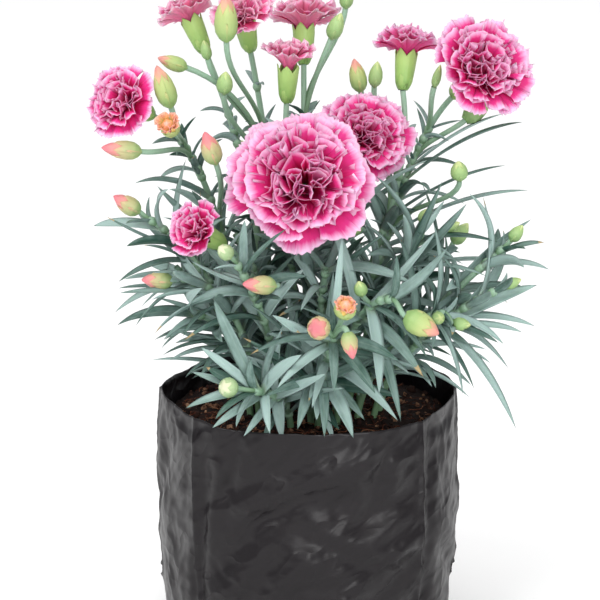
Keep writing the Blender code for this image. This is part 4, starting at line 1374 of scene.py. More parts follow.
class Finishes:
    """Every material of the plant, made once."""

    def __init__(self) -> None:
        """Makes them."""
        # Velvety petals, face and back, of the crimson blooms and of the dustier ones: a darker colour at the
        # claw, partly painted shade, that pales into a streaked margin, a little painted shade on the inner
        # petals, and a soft glow where light comes through
        self.petals = {
            False: (PetalFinish("petal_face_crimson", "A0084A", "CE0C5C", "DA3581", "E9B4D6").material(),
                    PetalFinish("petal_back_rose", "C62A66", "DA4582", "E070A4", "EBBCDA", 0.93).material()),
            True: (PetalFinish("petal_face_dusty_rose", "AC1E52", "D03870", "DA6492", "EBBAD2").material(),
                   PetalFinish("petal_back_salmon_rose", "D2507A", "E06E94", "E68CAA", "EEC0D4",
                               0.93).material()),
        }
        # Young petals of an opening bud: yellow-green below, orange-pink at the rim
        self.opening = PetalFinish("petal_opening_orange", "B8B04E", "DDB268", "EBA684", "F0B6A2").material()
        # Waxy blade: a chalky grey-blue over green, yellower at its foot
        self.leaf = LeafFinish("leaf_glaucous_wax", "2F5045", "93ABA6", "9AB084").material()
        # Waxed skin of stems and calyces: matt pale greens, with no hard highlight
        self.stem = GreenFinish("stem_waxy_green", "6A8A68", "8AA892").material()
        self.calyx = GreenFinish("calyx_pale_green", "7BA256", "9CBA6C").material()
        # Calyx and petal tip of a bud at each stage: from plain green to blushed salmon or cream
        self.buds = {
            Stage.GREEN: (GreenFinish("bud_green", "7E9E66", "9DB87A").material(),
                          GreenFinish("bud_tip_green", "A3BA74", "BCC98A").material()),
            Stage.FLUSHED: (GreenFinish("bud_yellow_green", "86A566", "B4B878").material(),
                            GreenFinish("bud_tip_flushed", "BDB47A", "CF8A82").material()),
            Stage.SALMON: (GreenFinish("bud_blushed_green", "8FA66E", "C9A684").material(),
                           GreenFinish("bud_tip_salmon", "CC9180", "D0747E").material()),
            Stage.CREAM: (GreenFinish("bud_cream_green", "86A374", "A9BC90").material(),
                          GreenFinish("bud_tip_cream", "BAC69E", "CFD2B0").material()),
        }
        self.buds[Stage.OPENING] = (self.buds[Stage.FLUSHED][0], self.opening)
        # Black polythene: near black with broad grey sheens that show every fold
        self.film = FilmFinish("polythene_film_black", "120E11", "2C2527").material()
        # Damp mix, its loose crumbs and coir fibres: matt browns, each lighter than the last
        self.mix = MixFinish("potting_mix_damp", "0F0A09", "261613", "4E3028").material()
        self.crumb = MixFinish("potting_mix_crumb", "1C1210", "3E251D", "B48A6C").material()
        self.fibre = MixFinish("coir_fibre", "33190F", "5E2F20", "A4785A").material()


# Petals of each tier: (count, start, length, width, rise from, rise to, ruffle), all but the count and
# the degrees as shares of the bloom's radius
TIERS = {
    Fullness.FULL: ((9, 0.13, 1.10, 0.86, 58, -8, 0.06), (8, 0.12, 1.08, 0.84, 66, 10, 0.08),
                    (8, 0.12, 1.02, 0.82, 74, 30, 0.11), (8, 0.30, 0.80, 0.74, 82, 46, 0.14),
                    (7, 0.20, 0.84, 0.74, 85, 62, 0.16), (5, 0.08, 0.86, 0.70, 88, 76, 0.17)),
    Fullness.SMALL: ((8, 0.13, 1.08, 0.90, 60, -4, 0.07), (7, 0.12, 1.06, 0.86, 70, 18, 0.10),
                     (7, 0.22, 0.88, 0.78, 80, 42, 0.14), (6, 0.16, 0.88, 0.74, 85, 62, 0.16),
                     (3, 0.06, 0.86, 0.66, 88, 78, 0.16)),
    Fullness.HALF_OPEN: ((6, 0.14, 1.26, 1.00, 76, 18, 0.08), (5, 0.12, 1.20, 0.90, 82, 38, 0.10),
                         (5, 0.10, 1.10, 0.80, 86, 58, 0.12), (3, 0.05, 1.04, 0.66, 89, 78, 0.13)),
}
PETAL_REST = 0.4 * MM
DUSTY_BLOOMS = ("top_front", "half_open_top", "left_back", "top_back")
# Slimmer leaves between the solid ones: pairs on each stem before the few more that its kind adds, how
# far out they may reach, how low, and what they are kept off apart from the blooms
EXTRA_PAIRS = 4
EXTRA_REACH = Vector((108, 79, 305)) * MM
EXTRA_LOWEST = 100 * MM
KEPT_CLEAR = ("grow_bag", "potting_mix")


def aim(place: Vector, way: Vector) -> Matrix:
    """The matrix that stands a form on a point, its +Z along a direction."""
    return Matrix.Translation(place) @ way.to_track_quat("Z", "Y").to_matrix().to_4x4()


class Bloom:
    """A double head of toothed petals."""

    def __init__(self, place: BloomPlace, finishes: Finishes) -> None:
        """Takes the head's place and its finishes.

        Args:
            place: Where it stands, the way it faces and its size.
            finishes: The plant's materials.
        """
        self.place = place
        self.finishes = finishes.petals[place.name in DUSTY_BLOOMS]

    def petals(self) -> Iterable[Petal]:
        """The petals, tier by tier.

        Returns:
            Every petal, each a little different.
        """
        draw = random.Random(f"{self.place.name} petals")
        radius = self.place.radius * MM
        offset = draw.uniform(0, 90)
        tiers = TIERS[self.place.fullness]
        for tier, (count, start, length, width, low, high, ruffle) in enumerate(tiers):
            inner = tier / (len(tiers) - 1)
            for i in range(count):
                even = offset + 360 * (i + 0.5 * (tier % 2)) / count
                yield Petal(
                    turn=even + draw.uniform(-0.3, 0.3) * 360 / count,
                    start=radius * start * draw.uniform(0.7, 1.2),
                    length=radius * length * draw.uniform(0.86, 1.05),
                    width=radius * width * draw.uniform(0.92, 1.12),
                    rise_from=low + draw.uniform(-5, 5),
                    rise_to=high + draw.uniform(-14, 12),
                    ruffle=radius * ruffle * draw.uniform(0.8, 1.25),
                    waves=draw.uniform(1.3, 2.4),
                    phase=draw.uniform(0, math.tau),
                    lift=radius * 0.03 * inner + PETAL_REST,
                    cup=draw.uniform(-0.05, 0.14),
                    crimp=0.02 - 0.012 * inner)

    def build(self) -> bpy.types.Object:
        """Builds the head as one piece.

        Returns:
            The object.
        """
        skin = Skin(f"{self.place.name}_bloom", self.finishes)
        draw = random.Random(f"{self.place.name} tones")
        place = aim(self.place.mouth(), self.place.way())
        count = sum(tier[0] for tier in TIERS[self.place.fullness])
        for i, petal in enumerate(self.petals()):
            points, marks, sides = petal.surface()
            # The second tone grows towards the inner petals, where the petal finish paints shade
            tone = (draw.random(), i / count * draw.uniform(0.6, 1))
            skin.wrap(placed(points, place), marks, sides, tone)
        return skin.finish((f"{self.place.name}_petals",), "petals")


class Growth:
    """The settled lines of every stem, bud and leaf, worked out as for the solids."""

    def __init__(self) -> None:
        """Grows the stems, then the calyces, the buds, the chosen leaves and the pairs of leaves."""
        self.thicket = Thicket()
        self.plans = [
            ShootPlan(f"{place.name}_stem", place.mouth() - place.way() * place.calyx_length(), place.way(),
                      *BLOOM_STEMS[place.name], bloom=place)
            for place in BLOOMS]
        self.plans += [
            ShootPlan(name, mm(top), Vector(faces).normalized(), *rest)
            for name, top, faces, *rest in SHOOTS]
        feet = feet_of([plan.top for plan in self.plans])
        self.stems = [self.grown_stem(plan, foot) for plan, foot in zip(self.plans, feet)]
        for plan in self.plans:
            if plan.bloom:
                length, radius = plan.bloom.calyx_length(), plan.bloom.calyx_radius()
                calyx = profile_tree(plan.top, plan.faces, length, radius, CALYX_PROFILE, False)
                self.thicket.add(calyx, plan.name)
        grown = list(zip(self.plans, self.stems))
        self.buds = [self.grown_buds(plan, stem) for plan, stem in grown]
        self.leaves: list[list[Leaf]] = [self.chosen_leaves(plan, stem) for plan, stem in grown]
        for (plan, stem), leaves in zip(grown, self.leaves):
            leaves += self.grown_leaves(plan, self.pairs(plan, stem), PAIR_REACH)
        for (plan, stem), leaves in zip(grown, self.leaves):
            leaves += self.between(plan, stem)

    def grown_stem(self, plan: ShootPlan, foot: Vector) -> Stem:
        """Settles a stem and keeps the rest clear of it."""
        stem = self.thicket.settle_stem(Stem(foot, plan.top, UP, plan.faces), STEM_RADIUS, plan.name)
        rings = round_rings(stem.line(STEM_POINTS), [STEM_RADIUS] * STEM_POINTS)
        self.thicket.add(rings_tree(rings), plan.name)
        return stem

    def grown_buds(self, plan: ShootPlan, stem: Stem) -> list[tuple[Bud, Stem]]:
        """Settles a shoot's buds.

        Args:
            plan: The shoot.
            stem: Its settled stem.

        Returns:
            Each bud that has room, with its stalk.
        """
        found = []
        for bud in plan.buds:
            stalk = self.thicket.settle_bud(stem, bud, plan.name)
            if stalk:
                way = Vector(bud.faces).normalized()
                rings = round_rings(stalk.line(STALK_POINTS), [STALK_RADIUS] * STALK_POINTS, 4)
                self.thicket.add(rings_tree(rings), plan.name)
                form = profile_tree(stalk.top, way, bud.length * MM, bud.width / 2 * MM, BUD_PROFILE, True)
                self.thicket.add(form, plan.name)
                found.append((bud, stalk))
        return found

    def grown_leaves(self, plan: ShootPlan, leaves: Iterable[tuple[str, Leaf]], reach: float) -> list[Leaf]:
        """Settles leaves in turn, each clear of the last.

        Args:
            plan: The shoot.
            leaves: Each leaf as it would grow, after what tells its random moves from another's.
            reach: The furthest move in mm.

        Returns:
            The leaves that have room.
        """
        found = []
        for key, leaf in leaves:
            settled = self.thicket.settle_leaf(leaf, plan.name, key, reach)
            if settled:
                self.thicket.add(rings_tree(*leaf_rings(settled)), plan.name)
                found.append(settled)
        return found

    def chosen_leaves(self, plan: ShootPlan, stem: Stem) -> list[Leaf]:
        """The listed leaves, settled."""
        leaves = ((f"chosen {i}", leaf_to(stem, share, mm(tip), lift, width, roll))
                  for i, (share, tip, lift, width, roll) in enumerate(plan.leaves))
        return self.grown_leaves(plan, leaves, CHOSEN_REACH)

    def pairs(self, plan: ShootPlan, stem: Stem) -> Iterable[tuple[str, Leaf]]:
        """The opposite leaves of a stem, before they settle.

        Args:
            plan: The shoot.
            stem: Its settled stem.

        Returns:
            What tells each leaf's random moves from another's, and the leaf.
        """
        shorter = 0.55 if plan.bloom else 0.25
        for pair in range(plan.pairs):
            draw = random.Random(f"{plan.name} pair {pair}")
            share = 0.22 + 0.74 * (pair + 0.5 * draw.random()) / plan.pairs
            turn = plan.turn + 90 * pair + draw.uniform(-15, 15)
            for side in (0, 180):
                length = plan.leaf * MM * (1 - shorter * share) * draw.uniform(0.85, 1.1)
                droop = length * draw.uniform(0, 0.4)
                roll = draw.uniform(-25, 25)
                yield f"{pair} {side}", paired_leaf(stem, share, turn + side, length, droop, LEAF_WIDTH, roll)

    def between(self, plan: ShootPlan, stem: Stem) -> list[Leaf]:
        """Slimmer leaves that fill the stem between the solid ones, kept off blooms, bag and mix.

        They aren't tested against other leaves, stems or buds, so some cross them, as soft leaves do.

        Args:
            plan: The shoot.
            stem: Its settled stem.

        Returns:
            The leaves that have room.
        """
        draw = random.Random(f"{plan.name} between")
        pairs = EXTRA_PAIRS + (1 if plan.bloom else 3)
        top = 0.92 if plan.bloom else 0.98
        clear_of = {*KEPT_CLEAR, *(place.name for place in BLOOMS)}
        trees = [tree for tree, holder in self.thicket.placed if holder in clear_of]
        found = []
        places = [(0.3 + (top - 0.3) * (pair + draw.random() * 0.8) / pairs, 1.0) for pair in range(pairs)]
        places += [(min(bud.share, 0.98), 0.42) for bud in plan.buds]
        for pair, (share, shorter) in enumerate(places):
            turn = plan.turn + 45 + 90 * pair + draw.uniform(-20, 20)
            for side in (0, 180):
                shorter = 0.42 if plan.bloom and share > 0.6 else shorter
                length = plan.leaf * MM * draw.uniform(0.6, 1.05) * shorter
                droop = length * draw.uniform(-0.4, 0.25)
                width = draw.uniform(4.0, 6.4) * (0.5 + 0.5 * shorter)
                leaf = paired_leaf(stem, share, turn + side, length, droop, width, draw.uniform(-50, 50))
                form = rings_tree(*leaf_rings(leaf, 0, 0.1))
                inside = all(abs(end) < reach for end, reach in zip(leaf.end, EXTRA_REACH))
                if inside and leaf.end.z > EXTRA_LOWEST and not any(form.overlap(tree) for tree in trees):
                    found.append(leaf)
        return found


class Shoot:
    """A stem with its collars, leaves, buds and, under a bloom, its calyx."""

    def __init__(self, plan: ShootPlan, stem: Stem, buds: list[tuple[Bud, Stem]], leaves: list[Leaf],
                 finishes: Finishes) -> None:
        """Takes what was settled for it.

        Args:
            plan: What the shoot carries.
            stem: Its stem.
            buds: Its buds, each with its stalk.
            leaves: Its leaves.
            finishes: The plant's materials.
        """
        self.plan, self.stem, self.buds, self.leaves = plan, stem, buds, leaves
        used = [finishes.leaf, finishes.stem, finishes.calyx]
        for bud, _ in buds:
            used += [finish for finish in finishes.buds[bud.stage] if finish not in used]
        self.places = {id(finish): i for i, finish in enumerate(used)}
        self.finishes = finishes
        self.skin = Skin(f"{plan.name.removesuffix('_stem')}_shoot", used)
        self.draw = random.Random(f"{plan.name} growth")

    def slot_of(self, finish: bpy.types.Material) -> int:
        """The place of a finish in the piece."""
        return self.places[id(finish)]

    def build(self) -> bpy.types.Object:
        """Builds the shoot as one piece.

        Returns:
            The object.
        """
        self.build_stem()
        for leaf in self.leaves:
            points, marks = leaf_surface(leaf)
            dry = max(0.0, self.draw.random() - 0.88) * 6
            self.skin.wrap(points, marks, 0, (self.draw.random(), dry), tip=True)
        if self.plan.bloom:
            self.build_calyx()
        for bud, stalk in self.buds:
            self.build_bud(bud, stalk)
        return self.skin.finish((self.plan.name,), "foliage")

    def build_stem(self) -> None:
        """The stem, slimmer towards its top, with a swollen collar where each pair of leaves starts."""
        slot = self.slot_of(self.finishes.stem)
        line = np.array(self.stem.line(STEM_ROWS))
        radii = STEM_RADIUS * (1.0 - 0.18 * np.linspace(0, 1, STEM_ROWS))
        tone = (self.draw.random(), 0.3)
        self.skin.wrap(*round_surface(line, radii, STEM_SIDES, STEM_FLUTES), slot, tone)
        starts = {tuple(round(value, 5) for value in leaf.start): leaf.start for leaf in self.leaves}
        steps = np.linspace(-1, 1, 7)
        swell = STEM_RADIUS * (0.85 + 0.5 * np.cos(steps * math.pi / 2) ** 1.3)
        for start in map(np.array, starts.values()):
            nearest = int(np.argmin(np.linalg.norm(line - start, axis=1)))
            way = unit(line[min(nearest + 1, STEM_ROWS - 1)] - line[max(nearest - 1, 0)])
            collar = start + way * (steps * COLLAR_HALF)[:, None]
            self.skin.wrap(*round_surface(collar, swell, STEM_SIDES), slot, (0.2, 0.1))

    def build_calyx(self) -> None:
        """A ribbed tube with five teeth, and four small scales at its foot."""
        bloom = self.plan.bloom
        length, radius = bloom.calyx_length(), bloom.calyx_radius()
        foot, way, finish = self.plan.top, self.plan.faces, self.finishes.calyx
        self.toothed_cup(foot, way, length, radius, CALYX_SHOWN, 0.98, 0.24, finish)
        side = way.orthogonal().normalized()
        for turn in range(4):
            out = Matrix.Rotation(math.radians(90 * turn + 20), 3, way) @ side
            start = foot + way * length * 0.02 + out * radius * 0.34
            self.add_scale(Leaf(start, start + way * length * 0.16 + out * radius * 0.52,
                                start + way * length * 0.44 + out * radius * 0.54, way.cross(out),
                                radius / MM * 1.15, 0), 8, finish)

    def add_scale(self, scale: Leaf, rows: int, finish: bpy.types.Material) -> None:
        """A small scale at the foot of a calyx or bud, broad where it starts."""
        points, marks = leaf_surface(scale, SCALE_FOOT, rows)
        self.skin.wrap(points, marks, self.slot_of(finish), (self.draw.random(), 0), tip=True)

    def toothed_cup(self, foot: Vector, way: Vector, length: float, radius: float, profile: Sequence,
                    rim: float, tooth: float, finish: bpy.types.Material) -> None:
        """A turned wall whose rim ends in five teeth.

        Args:
            foot: Where it starts.
            way: The unit direction of its axis.
            length: Its length in metres without the teeth.
            radius: Its radius in metres.
            profile: Shares of the length and of the radius.
            rim: Where the notches between the teeth are, as a share of the length.
            tooth: Length of the teeth as a share of the length.
            finish: Its material.
        """
        angle = np.linspace(0, 1, CUP_SIDES, endpoint=False)
        teeth = np.abs(2 * ((angle * 5) % 1) - 1) ** 0.8
        height = np.linspace(0, 1, CUP_ROWS)[:, None] * (rim + tooth * teeth)[None, :]
        reach = np.interp(height, [share for share, _ in profile], [width for _, width in profile]) * radius
        reach = reach * (1 + CUP_FLUTES * np.cos(angle * math.tau * 20))[None, :]
        turn = angle * math.tau
        outer = np.stack([np.cos(turn) * reach, np.sin(turn) * reach, height * length], axis=-1)
        inner = outer[::-1] * np.array((0.93, 0.93, 1.0))
        points = np.concatenate([outer, inner[:3]])
        marks = np.stack(np.broadcast_arrays(angle[None, :], height), axis=-1)
        marks = np.concatenate([marks, marks[::-1][:3]])
        tone = (self.draw.random(), 0)
        self.skin.wrap(placed(points, aim(foot, way)), marks, self.slot_of(finish), tone)

    def build_bud(self, bud: Bud, stalk: Stem) -> None:
        """A bud on its stalk: a ribbed calyx with teeth, and the twisted petals that show between them.

        Args:
            bud: The bud.
            stalk: Its settled stalk.
        """
        body, tip = self.finishes.buds[bud.stage]
        line = np.array(stalk.line(STALK_ROWS))
        radii = np.linspace(0.95, 1.15, STALK_ROWS) * STALK_RADIUS
        slot = self.slot_of(self.finishes.stem)
        self.skin.wrap(*round_surface(line, radii, 8), slot, (self.draw.random(), 0))
        foot, way = stalk.top, Vector(bud.faces).normalized()
        length, radius = bud.length * MM, bud.width / 2 * MM
        self.toothed_cup(foot, way, length, radius, BUD_SHOWN, BUD_COVERED[bud.stage] - 0.1, 0.22, body)
        steps = np.linspace(0.4, 1.0, STALK_ROWS)
        shares, widths = zip(*BUD_SHOWN)
        reach = np.interp(steps, shares, widths) * radius * 0.93
        reach[-1] = 0.05 * MM
        core = np.array(foot) + np.array(way) * (steps * length)[:, None]
        points, marks = round_surface(core, reach, 20, np.linspace(0.02, 0.16, STALK_ROWS), 0.22)
        self.skin.wrap(points, marks, self.slot_of(tip), (self.draw.random(), 0.2), tip=True)
        if bud.stage is Stage.OPENING:
            self.add_opening_petals(aim(foot + way * length * 0.45, way), length, radius, self.slot_of(tip))
        side = way.orthogonal().normalized()
        for turn in (0, 180):
            out = Matrix.Rotation(math.radians(turn + 50), 3, way) @ side
            start = foot + out * radius * 0.36
            self.add_scale(Leaf(start, start + way * length * 0.18 + out * radius * 0.6,
                                start + way * length * 0.42 + out * radius * 0.66, way.cross(out),
                                radius / MM * 0.8, 0), 7, body)

    def add_opening_petals(self, place: Matrix, length: float, radius: float, slot: int) -> None:
        """The small petals that break out of an opening bud, each next one a golden turn on.

        Args:
            place: Where they start, +Z along the bud.
            length: The bud's length in metres.
            radius: The bud's radius in metres.
            slot: Their material's place in the piece.
        """
        for i in range(11):
            petal = Petal(
                turn=360 * i * 0.382, start=radius * 0.35, length=length * self.draw.uniform(0.55, 0.75),
                width=radius * 1.15, rise_from=80, rise_to=self.draw.uniform(30, 75), ruffle=radius * 0.16,
                waves=self.draw.uniform(1.2, 2), phase=self.draw.uniform(0, 6), lift=0.0)
            points, marks, _ = petal.surface()
            self.skin.wrap(placed(points, place), marks, slot, (self.draw.random(), 0.1))


@dataclass(frozen=True)
class Dent:
    """A long fold of the film: its middle (turn in degrees, height in mm), tilt in degrees, sizes in mm."""

    turn: float
    height: float
    tilt: float
    length: float
    width: float
    depth: float


# Long folds that the photo shows on the front of the film, and some on the sides and back
DENTS = (
    Dent(262, 82, 24, 34, 7, 2.4), Dent(284, 60, -28, 30, 6, 2.2), Dent(250, 46, 60, 24, 5, 1.8),
    Dent(296, 92, 70, 20, 5, 1.8), Dent(272, 30, 8, 34, 6, 1.8), Dent(240, 94, 80, 22, 4, 1.6),
    Dent(305, 44, 40, 26, 6, 2.0), Dent(226, 66, 84, 40, 4, 2.0), Dent(322, 70, 88, 44, 4, 2.0),
    Dent(20, 70, 40, 30, 7, 2.2), Dent(60, 50, -30, 34, 7, 2.0), Dent(105, 80, 30, 30, 6, 2.2),
    Dent(150, 50, -50, 30, 6, 2.0), Dent(190, 80, 60, 26, 6, 2.0), Dent(345, 40, -40, 28, 6, 1.8),
)


@dataclass(frozen=True)
class GrowBag:
    """The film bag: gusseted, wrinkled, cut at the rim, with drain holes near its foot."""

    around: int = 360
    rows: int = 120
    film: float = 0.35 * MM
    hole_radius: float = 2.6 * MM
    holes: tuple[tuple[float, float], ...] = ((0, 30), (62, 30), (118, 34), (180, 29), (235, 30), (284, 38))
    lip: float = 0.9 * MM
    wrinkle: float = 1.5 * MM

    def build(self, finish: bpy.types.Material) -> bpy.types.Object:
        """Builds the bag: outside wall, cut rim, inside wall and bottom, with the holes through it.

        Args:
            finish: The film's material.

        Returns:
            The object.
        """
        skin = Skin("grow_bag_film", [finish])
        turns = np.linspace(0, 360, self.around, endpoint=False)
        shares = np.linspace(0, 1, self.rows)
        outside = np.array([[self.point(turn, share, 0) for turn in turns] for share in shares])
        inside = np.array([[self.point(turn, share, self.film) for turn in turns] for share in shares[::-3]])
        foot = outside[:1] * np.array((0.5, 0.5, 1.0)) + np.array((0, 0, 0.2 * MM))
        middle = foot * np.array((0.02, 0.02, 1.0))
        wall = np.concatenate([middle, foot, outside, inside, middle + np.array((0, 0, self.film))])
        up_wall = np.linspace(0, 1, len(wall))[:, None]
        marks = np.stack(np.broadcast_arrays(turns[None, :] / 360, up_wall), axis=-1)
        skin.wrap(wall, marks, 0, (0.5, 0.0))
        points = skin.points[0]
        for turn, height in self.holes:
            centre = (math.radians(turn), height * MM)
            apart = self.flat(points, centre)
            far = np.linalg.norm(apart, axis=1)
            near = self.front_of(points, centre)
            east = np.array((-math.sin(centre[0]), math.cos(centre[0]), 0))
            outward = np.array((math.cos(centre[0]), math.sin(centre[0]), 0))
            raised = np.where(near, np.exp(-((far - self.hole_radius) / (1.3 * MM)) ** 2), 0) * self.lip
            points += outward * raised[:, None]
            snapped = near & (np.abs(far - self.hole_radius) < 0.62 * MM)
            pull = apart[snapped] / far[snapped][:, None] * (self.hole_radius - far[snapped])[:, None]
            points[snapped] += east * pull[:, :1] + np.array((0, 0, 1)) * pull[:, 1:]
            kept = []
            for face in skin.faces:
                middle_of = points[list(face)].mean(axis=0)[None, :]
                off_centre = np.linalg.norm(self.flat(middle_of, centre))
                if not (self.front_of(middle_of, centre)[0] and off_centre < self.hole_radius):
                    kept.append(face)
            skin.faces = kept
        skin.slots = [0] * len(skin.faces)
        return skin.finish(("grow_bag",), "bag_film")

    @staticmethod
    def flat(points: np.ndarray, centre: tuple[float, float]) -> np.ndarray:
        """Offsets of points from a hole, along the wall and up it.

        Args:
            points: The points, rows by three.
            centre: The hole's turn in radians and its height in metres.

        Returns:
            Two offsets in metres for each point.
        """
        turn, height = centre
        along = -points[:, 0] * math.sin(turn) + points[:, 1] * math.cos(turn)
        return np.stack([along, points[:, 2] - height], axis=1)

    @staticmethod
    def front_of(points: np.ndarray, centre: tuple[float, float]) -> np.ndarray:
        """Whether points lie on the hole's side of the bag."""
        turn, _ = centre
        return points[:, 0] * math.cos(turn) + points[:, 1] * math.sin(turn) > 0.6 * BAG_RADIUS

    def point(self, turn: float, share: float, inset: float) -> Vector:
        """A point of the wall.

        Args:
            turn: Degrees round the bag.
            share: Share of the height.
            inset: How far inside the outer face, in metres.

        Returns:
            The point.
        """
        height = share * (BAG_HEIGHT + rim_wave(turn) + self.ragged(turn))
        smooth = sum(bag_radius((turn + aside) % 360, share) for aside in (-12, -8, -4, 0, 4, 8, 12)) / 7
        radius = smooth - inset + self.relief(turn, height) * min(1, 0.25 + share * 5)
        radius += 0.9 * MM * math.exp(-from_crease(turn) ** 2) * min(1, share * 3)
        radius -= 0.9 * MM * max(0, 1 - share * 14) ** 2
        return on_ring(turn, radius, height)

    def ragged(self, turn: float) -> float:
        """Small unevenness of the cut rim, in metres."""
        angle = math.radians(turn)
        return noise.noise(Vector((math.cos(angle) * 5, math.sin(angle) * 5, 3.0))) * 0.9 * MM

    def relief(self, turn: float, height: float) -> float:
        """Wrinkles and folds of the film.

        Args:
            turn: Degrees round the bag.
            height: The height in metres.

        Returns:
            How far the film stands out there, in metres.
        """
        angle = math.radians(turn)
        place = Vector((math.cos(angle), math.sin(angle), height / BAG_RADIUS))
        swell = noise.noise(place * 1.6) * 0.6
        ridges = 0.0
        for i, (reach, weight) in enumerate(((3.2, 0.8), (7.0, 0.45), (15.0, 0.16))):
            aside = noise.noise(place * 2.3 + Vector((9, i, 0)))
            beyond = noise.noise(place * 2.1 + Vector((0, 5, i)))
            bent = place + Vector((aside, beyond, 0)) * 0.35
            ridges += (0.5 - abs(noise.noise(bent * reach + Vector((i * 7, 0, 0))))) * weight
        out = (swell + ridges) * self.wrinkle
        for dent in DENTS:
            along = ((turn - dent.turn + 180) % 360 - 180) * math.pi / 180 * BAG_RADIUS / MM
            up = height / MM - dent.height
            tilt = math.radians(dent.tilt)
            lengthwise = (along * math.cos(tilt) + up * math.sin(tilt)) / dent.length
            sideways = (-along * math.sin(tilt) + up * math.cos(tilt)) / dent.width
            if abs(lengthwise) < 2.5 and abs(sideways) < 3:
                valley = math.exp(-sideways ** 2) - 0.45 * math.exp(-(sideways - 1.5) ** 2)
                out -= dent.depth * MM * math.exp(-lengthwise ** 4) * valley
        return out


@dataclass(frozen=True)
class PottingMix:
    """The mix in the bag: an uneven surface with loose crumbs and fibres."""

    sides: int = 150
    rings: int = 60
    crumbs: int = 1200
    fibres: int = 320

    def height(self, x: float, y: float) -> float:
        """Height of the surface.

        Args:
            x: The place in metres.
            y: The place in metres.

        Returns:
            The height there in metres.
        """
        place = Vector((x, y, 0)) / MM
        rough = noise.fractal(place / 9, 1.0, 2.2, 5) * 1.3 + noise.noise(place / 3) * 0.7
        edge = max(0.0, math.hypot(x, y) / BAG_RADIUS - 0.78) / 0.2
        return SOIL_TOP - 0.8 * MM + rough * MM - min(1.0, edge) * 2.2 * MM

    def build_body(self, bag: GrowBag, finish: bpy.types.Material) -> bpy.types.Object:
        """The mass of the mix, filling the bag up to its surface.

        Args:
            bag: The bag, whose folds its side follows.
            finish: Its material.

        Returns:
            The object.
        """
        skin = Skin("mix_body", [finish])
        turns = np.linspace(0, 360, self.sides, endpoint=False)
        rows = []
        for level in np.linspace(0.02, 0.86, 60):
            rows.append([bag.point(turn, level, 1.2 * MM) for turn in turns])
        for share in np.linspace(0.972, 0.004, self.rings):
            ring = []
            for turn in turns:
                flat = on_ring(turn, bag_radius(turn, 0.9) * share, 0)
                ring.append(Vector((flat.x, flat.y, self.height(flat.x, flat.y))))
            rows.append(ring)
        points = np.array(rows)
        marks = np.zeros(points.shape[:2] + (2,))
        skin.wrap(points, marks, 0, (0.4, 0.0))
        return skin.finish(("potting_mix",), "potting_mix")

    def build_crumbs(self, finish: bpy.types.Material) -> bpy.types.Object:
        """Loose crumbs that lie half sunk in the surface.

        Args:
            finish: Their material.

        Returns:
            The object.
        """
        skin = Skin("mix_crumbs", [finish])
        draw = random.Random("crumbs")
        ball = bmesh.new()
        bmesh.ops.create_icosphere(ball, subdivisions=1, radius=1)
        form = np.array([tuple(vert.co) for vert in ball.verts])
        faces = np.array([[vert.index for vert in face.verts] for face in ball.faces])
        ball.free()
        for _ in range(self.crumbs):
            turn, reach = draw.uniform(0, 360), BAG_RADIUS * 0.93 * math.sqrt(draw.random())
            flat = on_ring(turn, reach, 0)
            size = draw.uniform(0.45, 1.0) ** 3 * 2.0 * MM
            scale = np.array([draw.uniform(0.6, 1.2) for _ in range(3)]) * size
            angle = draw.uniform(0, math.tau)
            axis = Vector((draw.random(), draw.random(), 1)).normalized()
            spin = np.array(Matrix.Rotation(angle, 3, axis))
            rough = 1 + 0.22 * np.array([[draw.uniform(-1, 1)] for _ in form])
            rests = (flat.x, flat.y, self.height(flat.x, flat.y) + size * 0.25)
            points = (form * rough * scale) @ spin.T + np.array(rests)
            skin.solid(points, faces, 0, (draw.random(), 0))
        return skin.finish((), "potting_mix", smooth=False)

    def build_fibres(self, finish: bpy.types.Material) -> bpy.types.Object:
        """Coir fibres that lie on the surface, a few of them standing off it.

        Args:
            finish: Their material.

        Returns:
            The object.
        """
        skin = Skin("mix_fibres", [finish])
        draw = random.Random("fibres")
        for _ in range(self.fibres):
            flat = on_ring(draw.uniform(0, 360), BAG_RADIUS * 0.86 * math.sqrt(draw.random()), 0)
            way = draw.uniform(0, math.tau)
            length = draw.uniform(5, 15) * MM
            bend = draw.uniform(-1.2, 1.2)
            line = []
            for step in np.linspace(0, 1, 7):
                x = flat.x + math.cos(way + bend * step) * length * (step - 0.5)
                y = flat.y + math.sin(way + bend * step) * length * (step - 0.5)
                if math.hypot(x, y) > BAG_RADIUS * 0.93:
                    break
                line.append((x, y, self.height(x, y) + (0.5 + draw.random() * 1.1) * MM))
            if len(line) > 3:
                radii = np.full(len(line), draw.uniform(0.1, 0.24) * MM)
                skin.wrap(*round_surface(np.array(line), radii, 5), 0, (draw.random(), 0))
        return skin.finish((), "potting_mix")


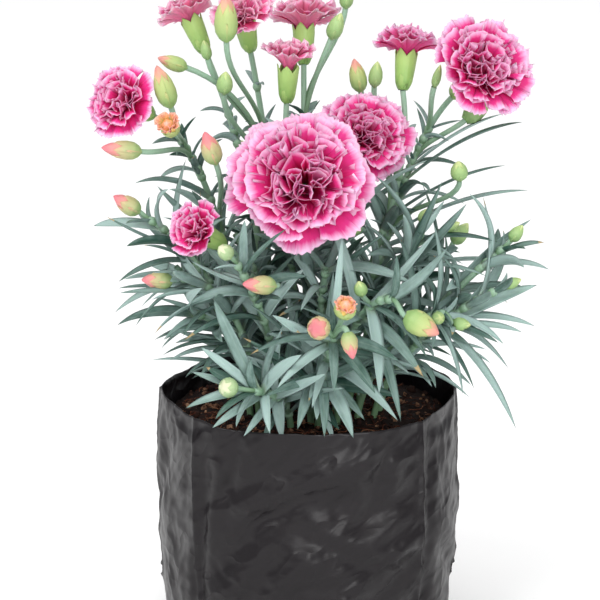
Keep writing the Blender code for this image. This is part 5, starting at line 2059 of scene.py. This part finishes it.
@dataclass(frozen=True)
class Studio:
    """White ground, soft daylight and the photo's camera, in metres, degrees and watts.

    The camera is set so that the bag's rim falls where the photo shows it. The lens is in mm.
    """

    distance: float = 1.10
    height: float = 0.456
    aside: float = -0.0038
    pitch: float = 14.9
    lens: float = 145.5
    sensor: float = 36
    floor_reach: float = 6
    sky_strength: float = 1.1
    key_power: float = 17.0
    fill_power: float = 15.0

    def build(self) -> None:
        """Builds floor, lights and camera."""
        self.floor()
        self.sky()
        self.lamp("key", (-0.9, -1.0, 1.5), 0.9, self.key_power)
        self.lamp("fill", (0.4, -1.6, 0.75), 0.8, self.fill_power)
        camera = bpy.data.cameras.new("camera")
        camera.lens = self.lens
        camera.sensor_width = self.sensor
        camera.dof.use_dof = False
        placed_camera = bpy.data.objects.new("camera", camera)
        placed_camera.location = (self.aside, -self.distance, self.height)
        placed_camera.rotation_euler = (math.radians(90 - self.pitch), 0, 0)
        bpy.context.scene.collection.objects.link(placed_camera)
        bpy.context.scene.camera = placed_camera

    def floor(self) -> None:
        """A white matt ground."""
        mesh = bpy.data.meshes.new("floor")
        reach = self.floor_reach
        corners = [(x * reach, y * reach, 0) for x, y in ((-1, -1), (1, -1), (1, 1), (-1, 1))]
        mesh.from_pydata(corners, [], [(0, 1, 2, 3)])
        floor = bpy.data.objects.new("floor", mesh)
        material = bpy.data.materials.new("backdrop_white_matt")
        material.use_nodes = True
        shader = material.node_tree.nodes["Principled BSDF"]
        shader.inputs["Base Color"].default_value = linear("FFFFFF")
        shader.inputs["Roughness"].default_value = 0.9
        shader.inputs["Specular IOR Level"].default_value = 0.1
        mesh.materials.append(material)
        bpy.context.scene.collection.objects.link(floor)

    def sky(self) -> None:
        """White light from above that dims towards the horizon, so that the film's folds show."""
        world = bpy.data.worlds.new("studio")
        world.use_nodes = True
        tree = world.node_tree
        way = node(tree, "ShaderNodeTexCoord").outputs["Generated"]
        rise = node(tree, "ShaderNodeSeparateXYZ", {0: way}).outputs[2]
        shade = ramp(tree, rise, ((0.0, "C4C6C8"), (0.12, "A2A4A7"), (0.4, "D4D4D4"), (0.75, "FFFFFF")))
        background = tree.nodes["Background"]
        tree.links.new(shade, background.inputs[0])
        background.inputs[1].default_value = self.sky_strength
        bpy.context.scene.world = world
        bpy.context.scene.view_settings.view_transform = "Standard"

    def lamp(self, name: str, place: Point, size: float, power: float) -> None:
        """A square lamp that faces the plant.

        Args:
            name: Its name.
            place: Where it hangs, in metres.
            size: Its side in metres.
            power: Its power in watts.
        """
        lamp = bpy.data.lights.new(name, "AREA")
        lamp.size = size
        lamp.energy = power
        made = bpy.data.objects.new(name, lamp)
        made.location = place
        made.rotation_euler = (Vector((0, 0, 0.16)) - Vector(place)).to_track_quat("-Z", "Y").to_euler()
        bpy.context.scene.collection.objects.link(made)


def main() -> None:
    """Builds the plant over its frame and stages it as in the photo."""
    logging.basicConfig(level=logging.INFO, format="%(name)s %(message)s")
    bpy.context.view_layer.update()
    finishes = Finishes()
    growth = Growth()
    for plan, stem, buds, leaves in zip(growth.plans, growth.stems, growth.buds, growth.leaves):
        Shoot(plan, stem, buds, leaves, finishes).build()
    for place in BLOOMS:
        Bloom(place, finishes).build()
    bag = GrowBag()
    bag.build(finishes.film)
    mix = PottingMix()
    mix.build_body(bag, finishes.mix)
    mix.build_crumbs(finishes.crumb)
    mix.build_fibres(finishes.fibre)
    Studio().build()


if __name__ == "__main__":
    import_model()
    main()
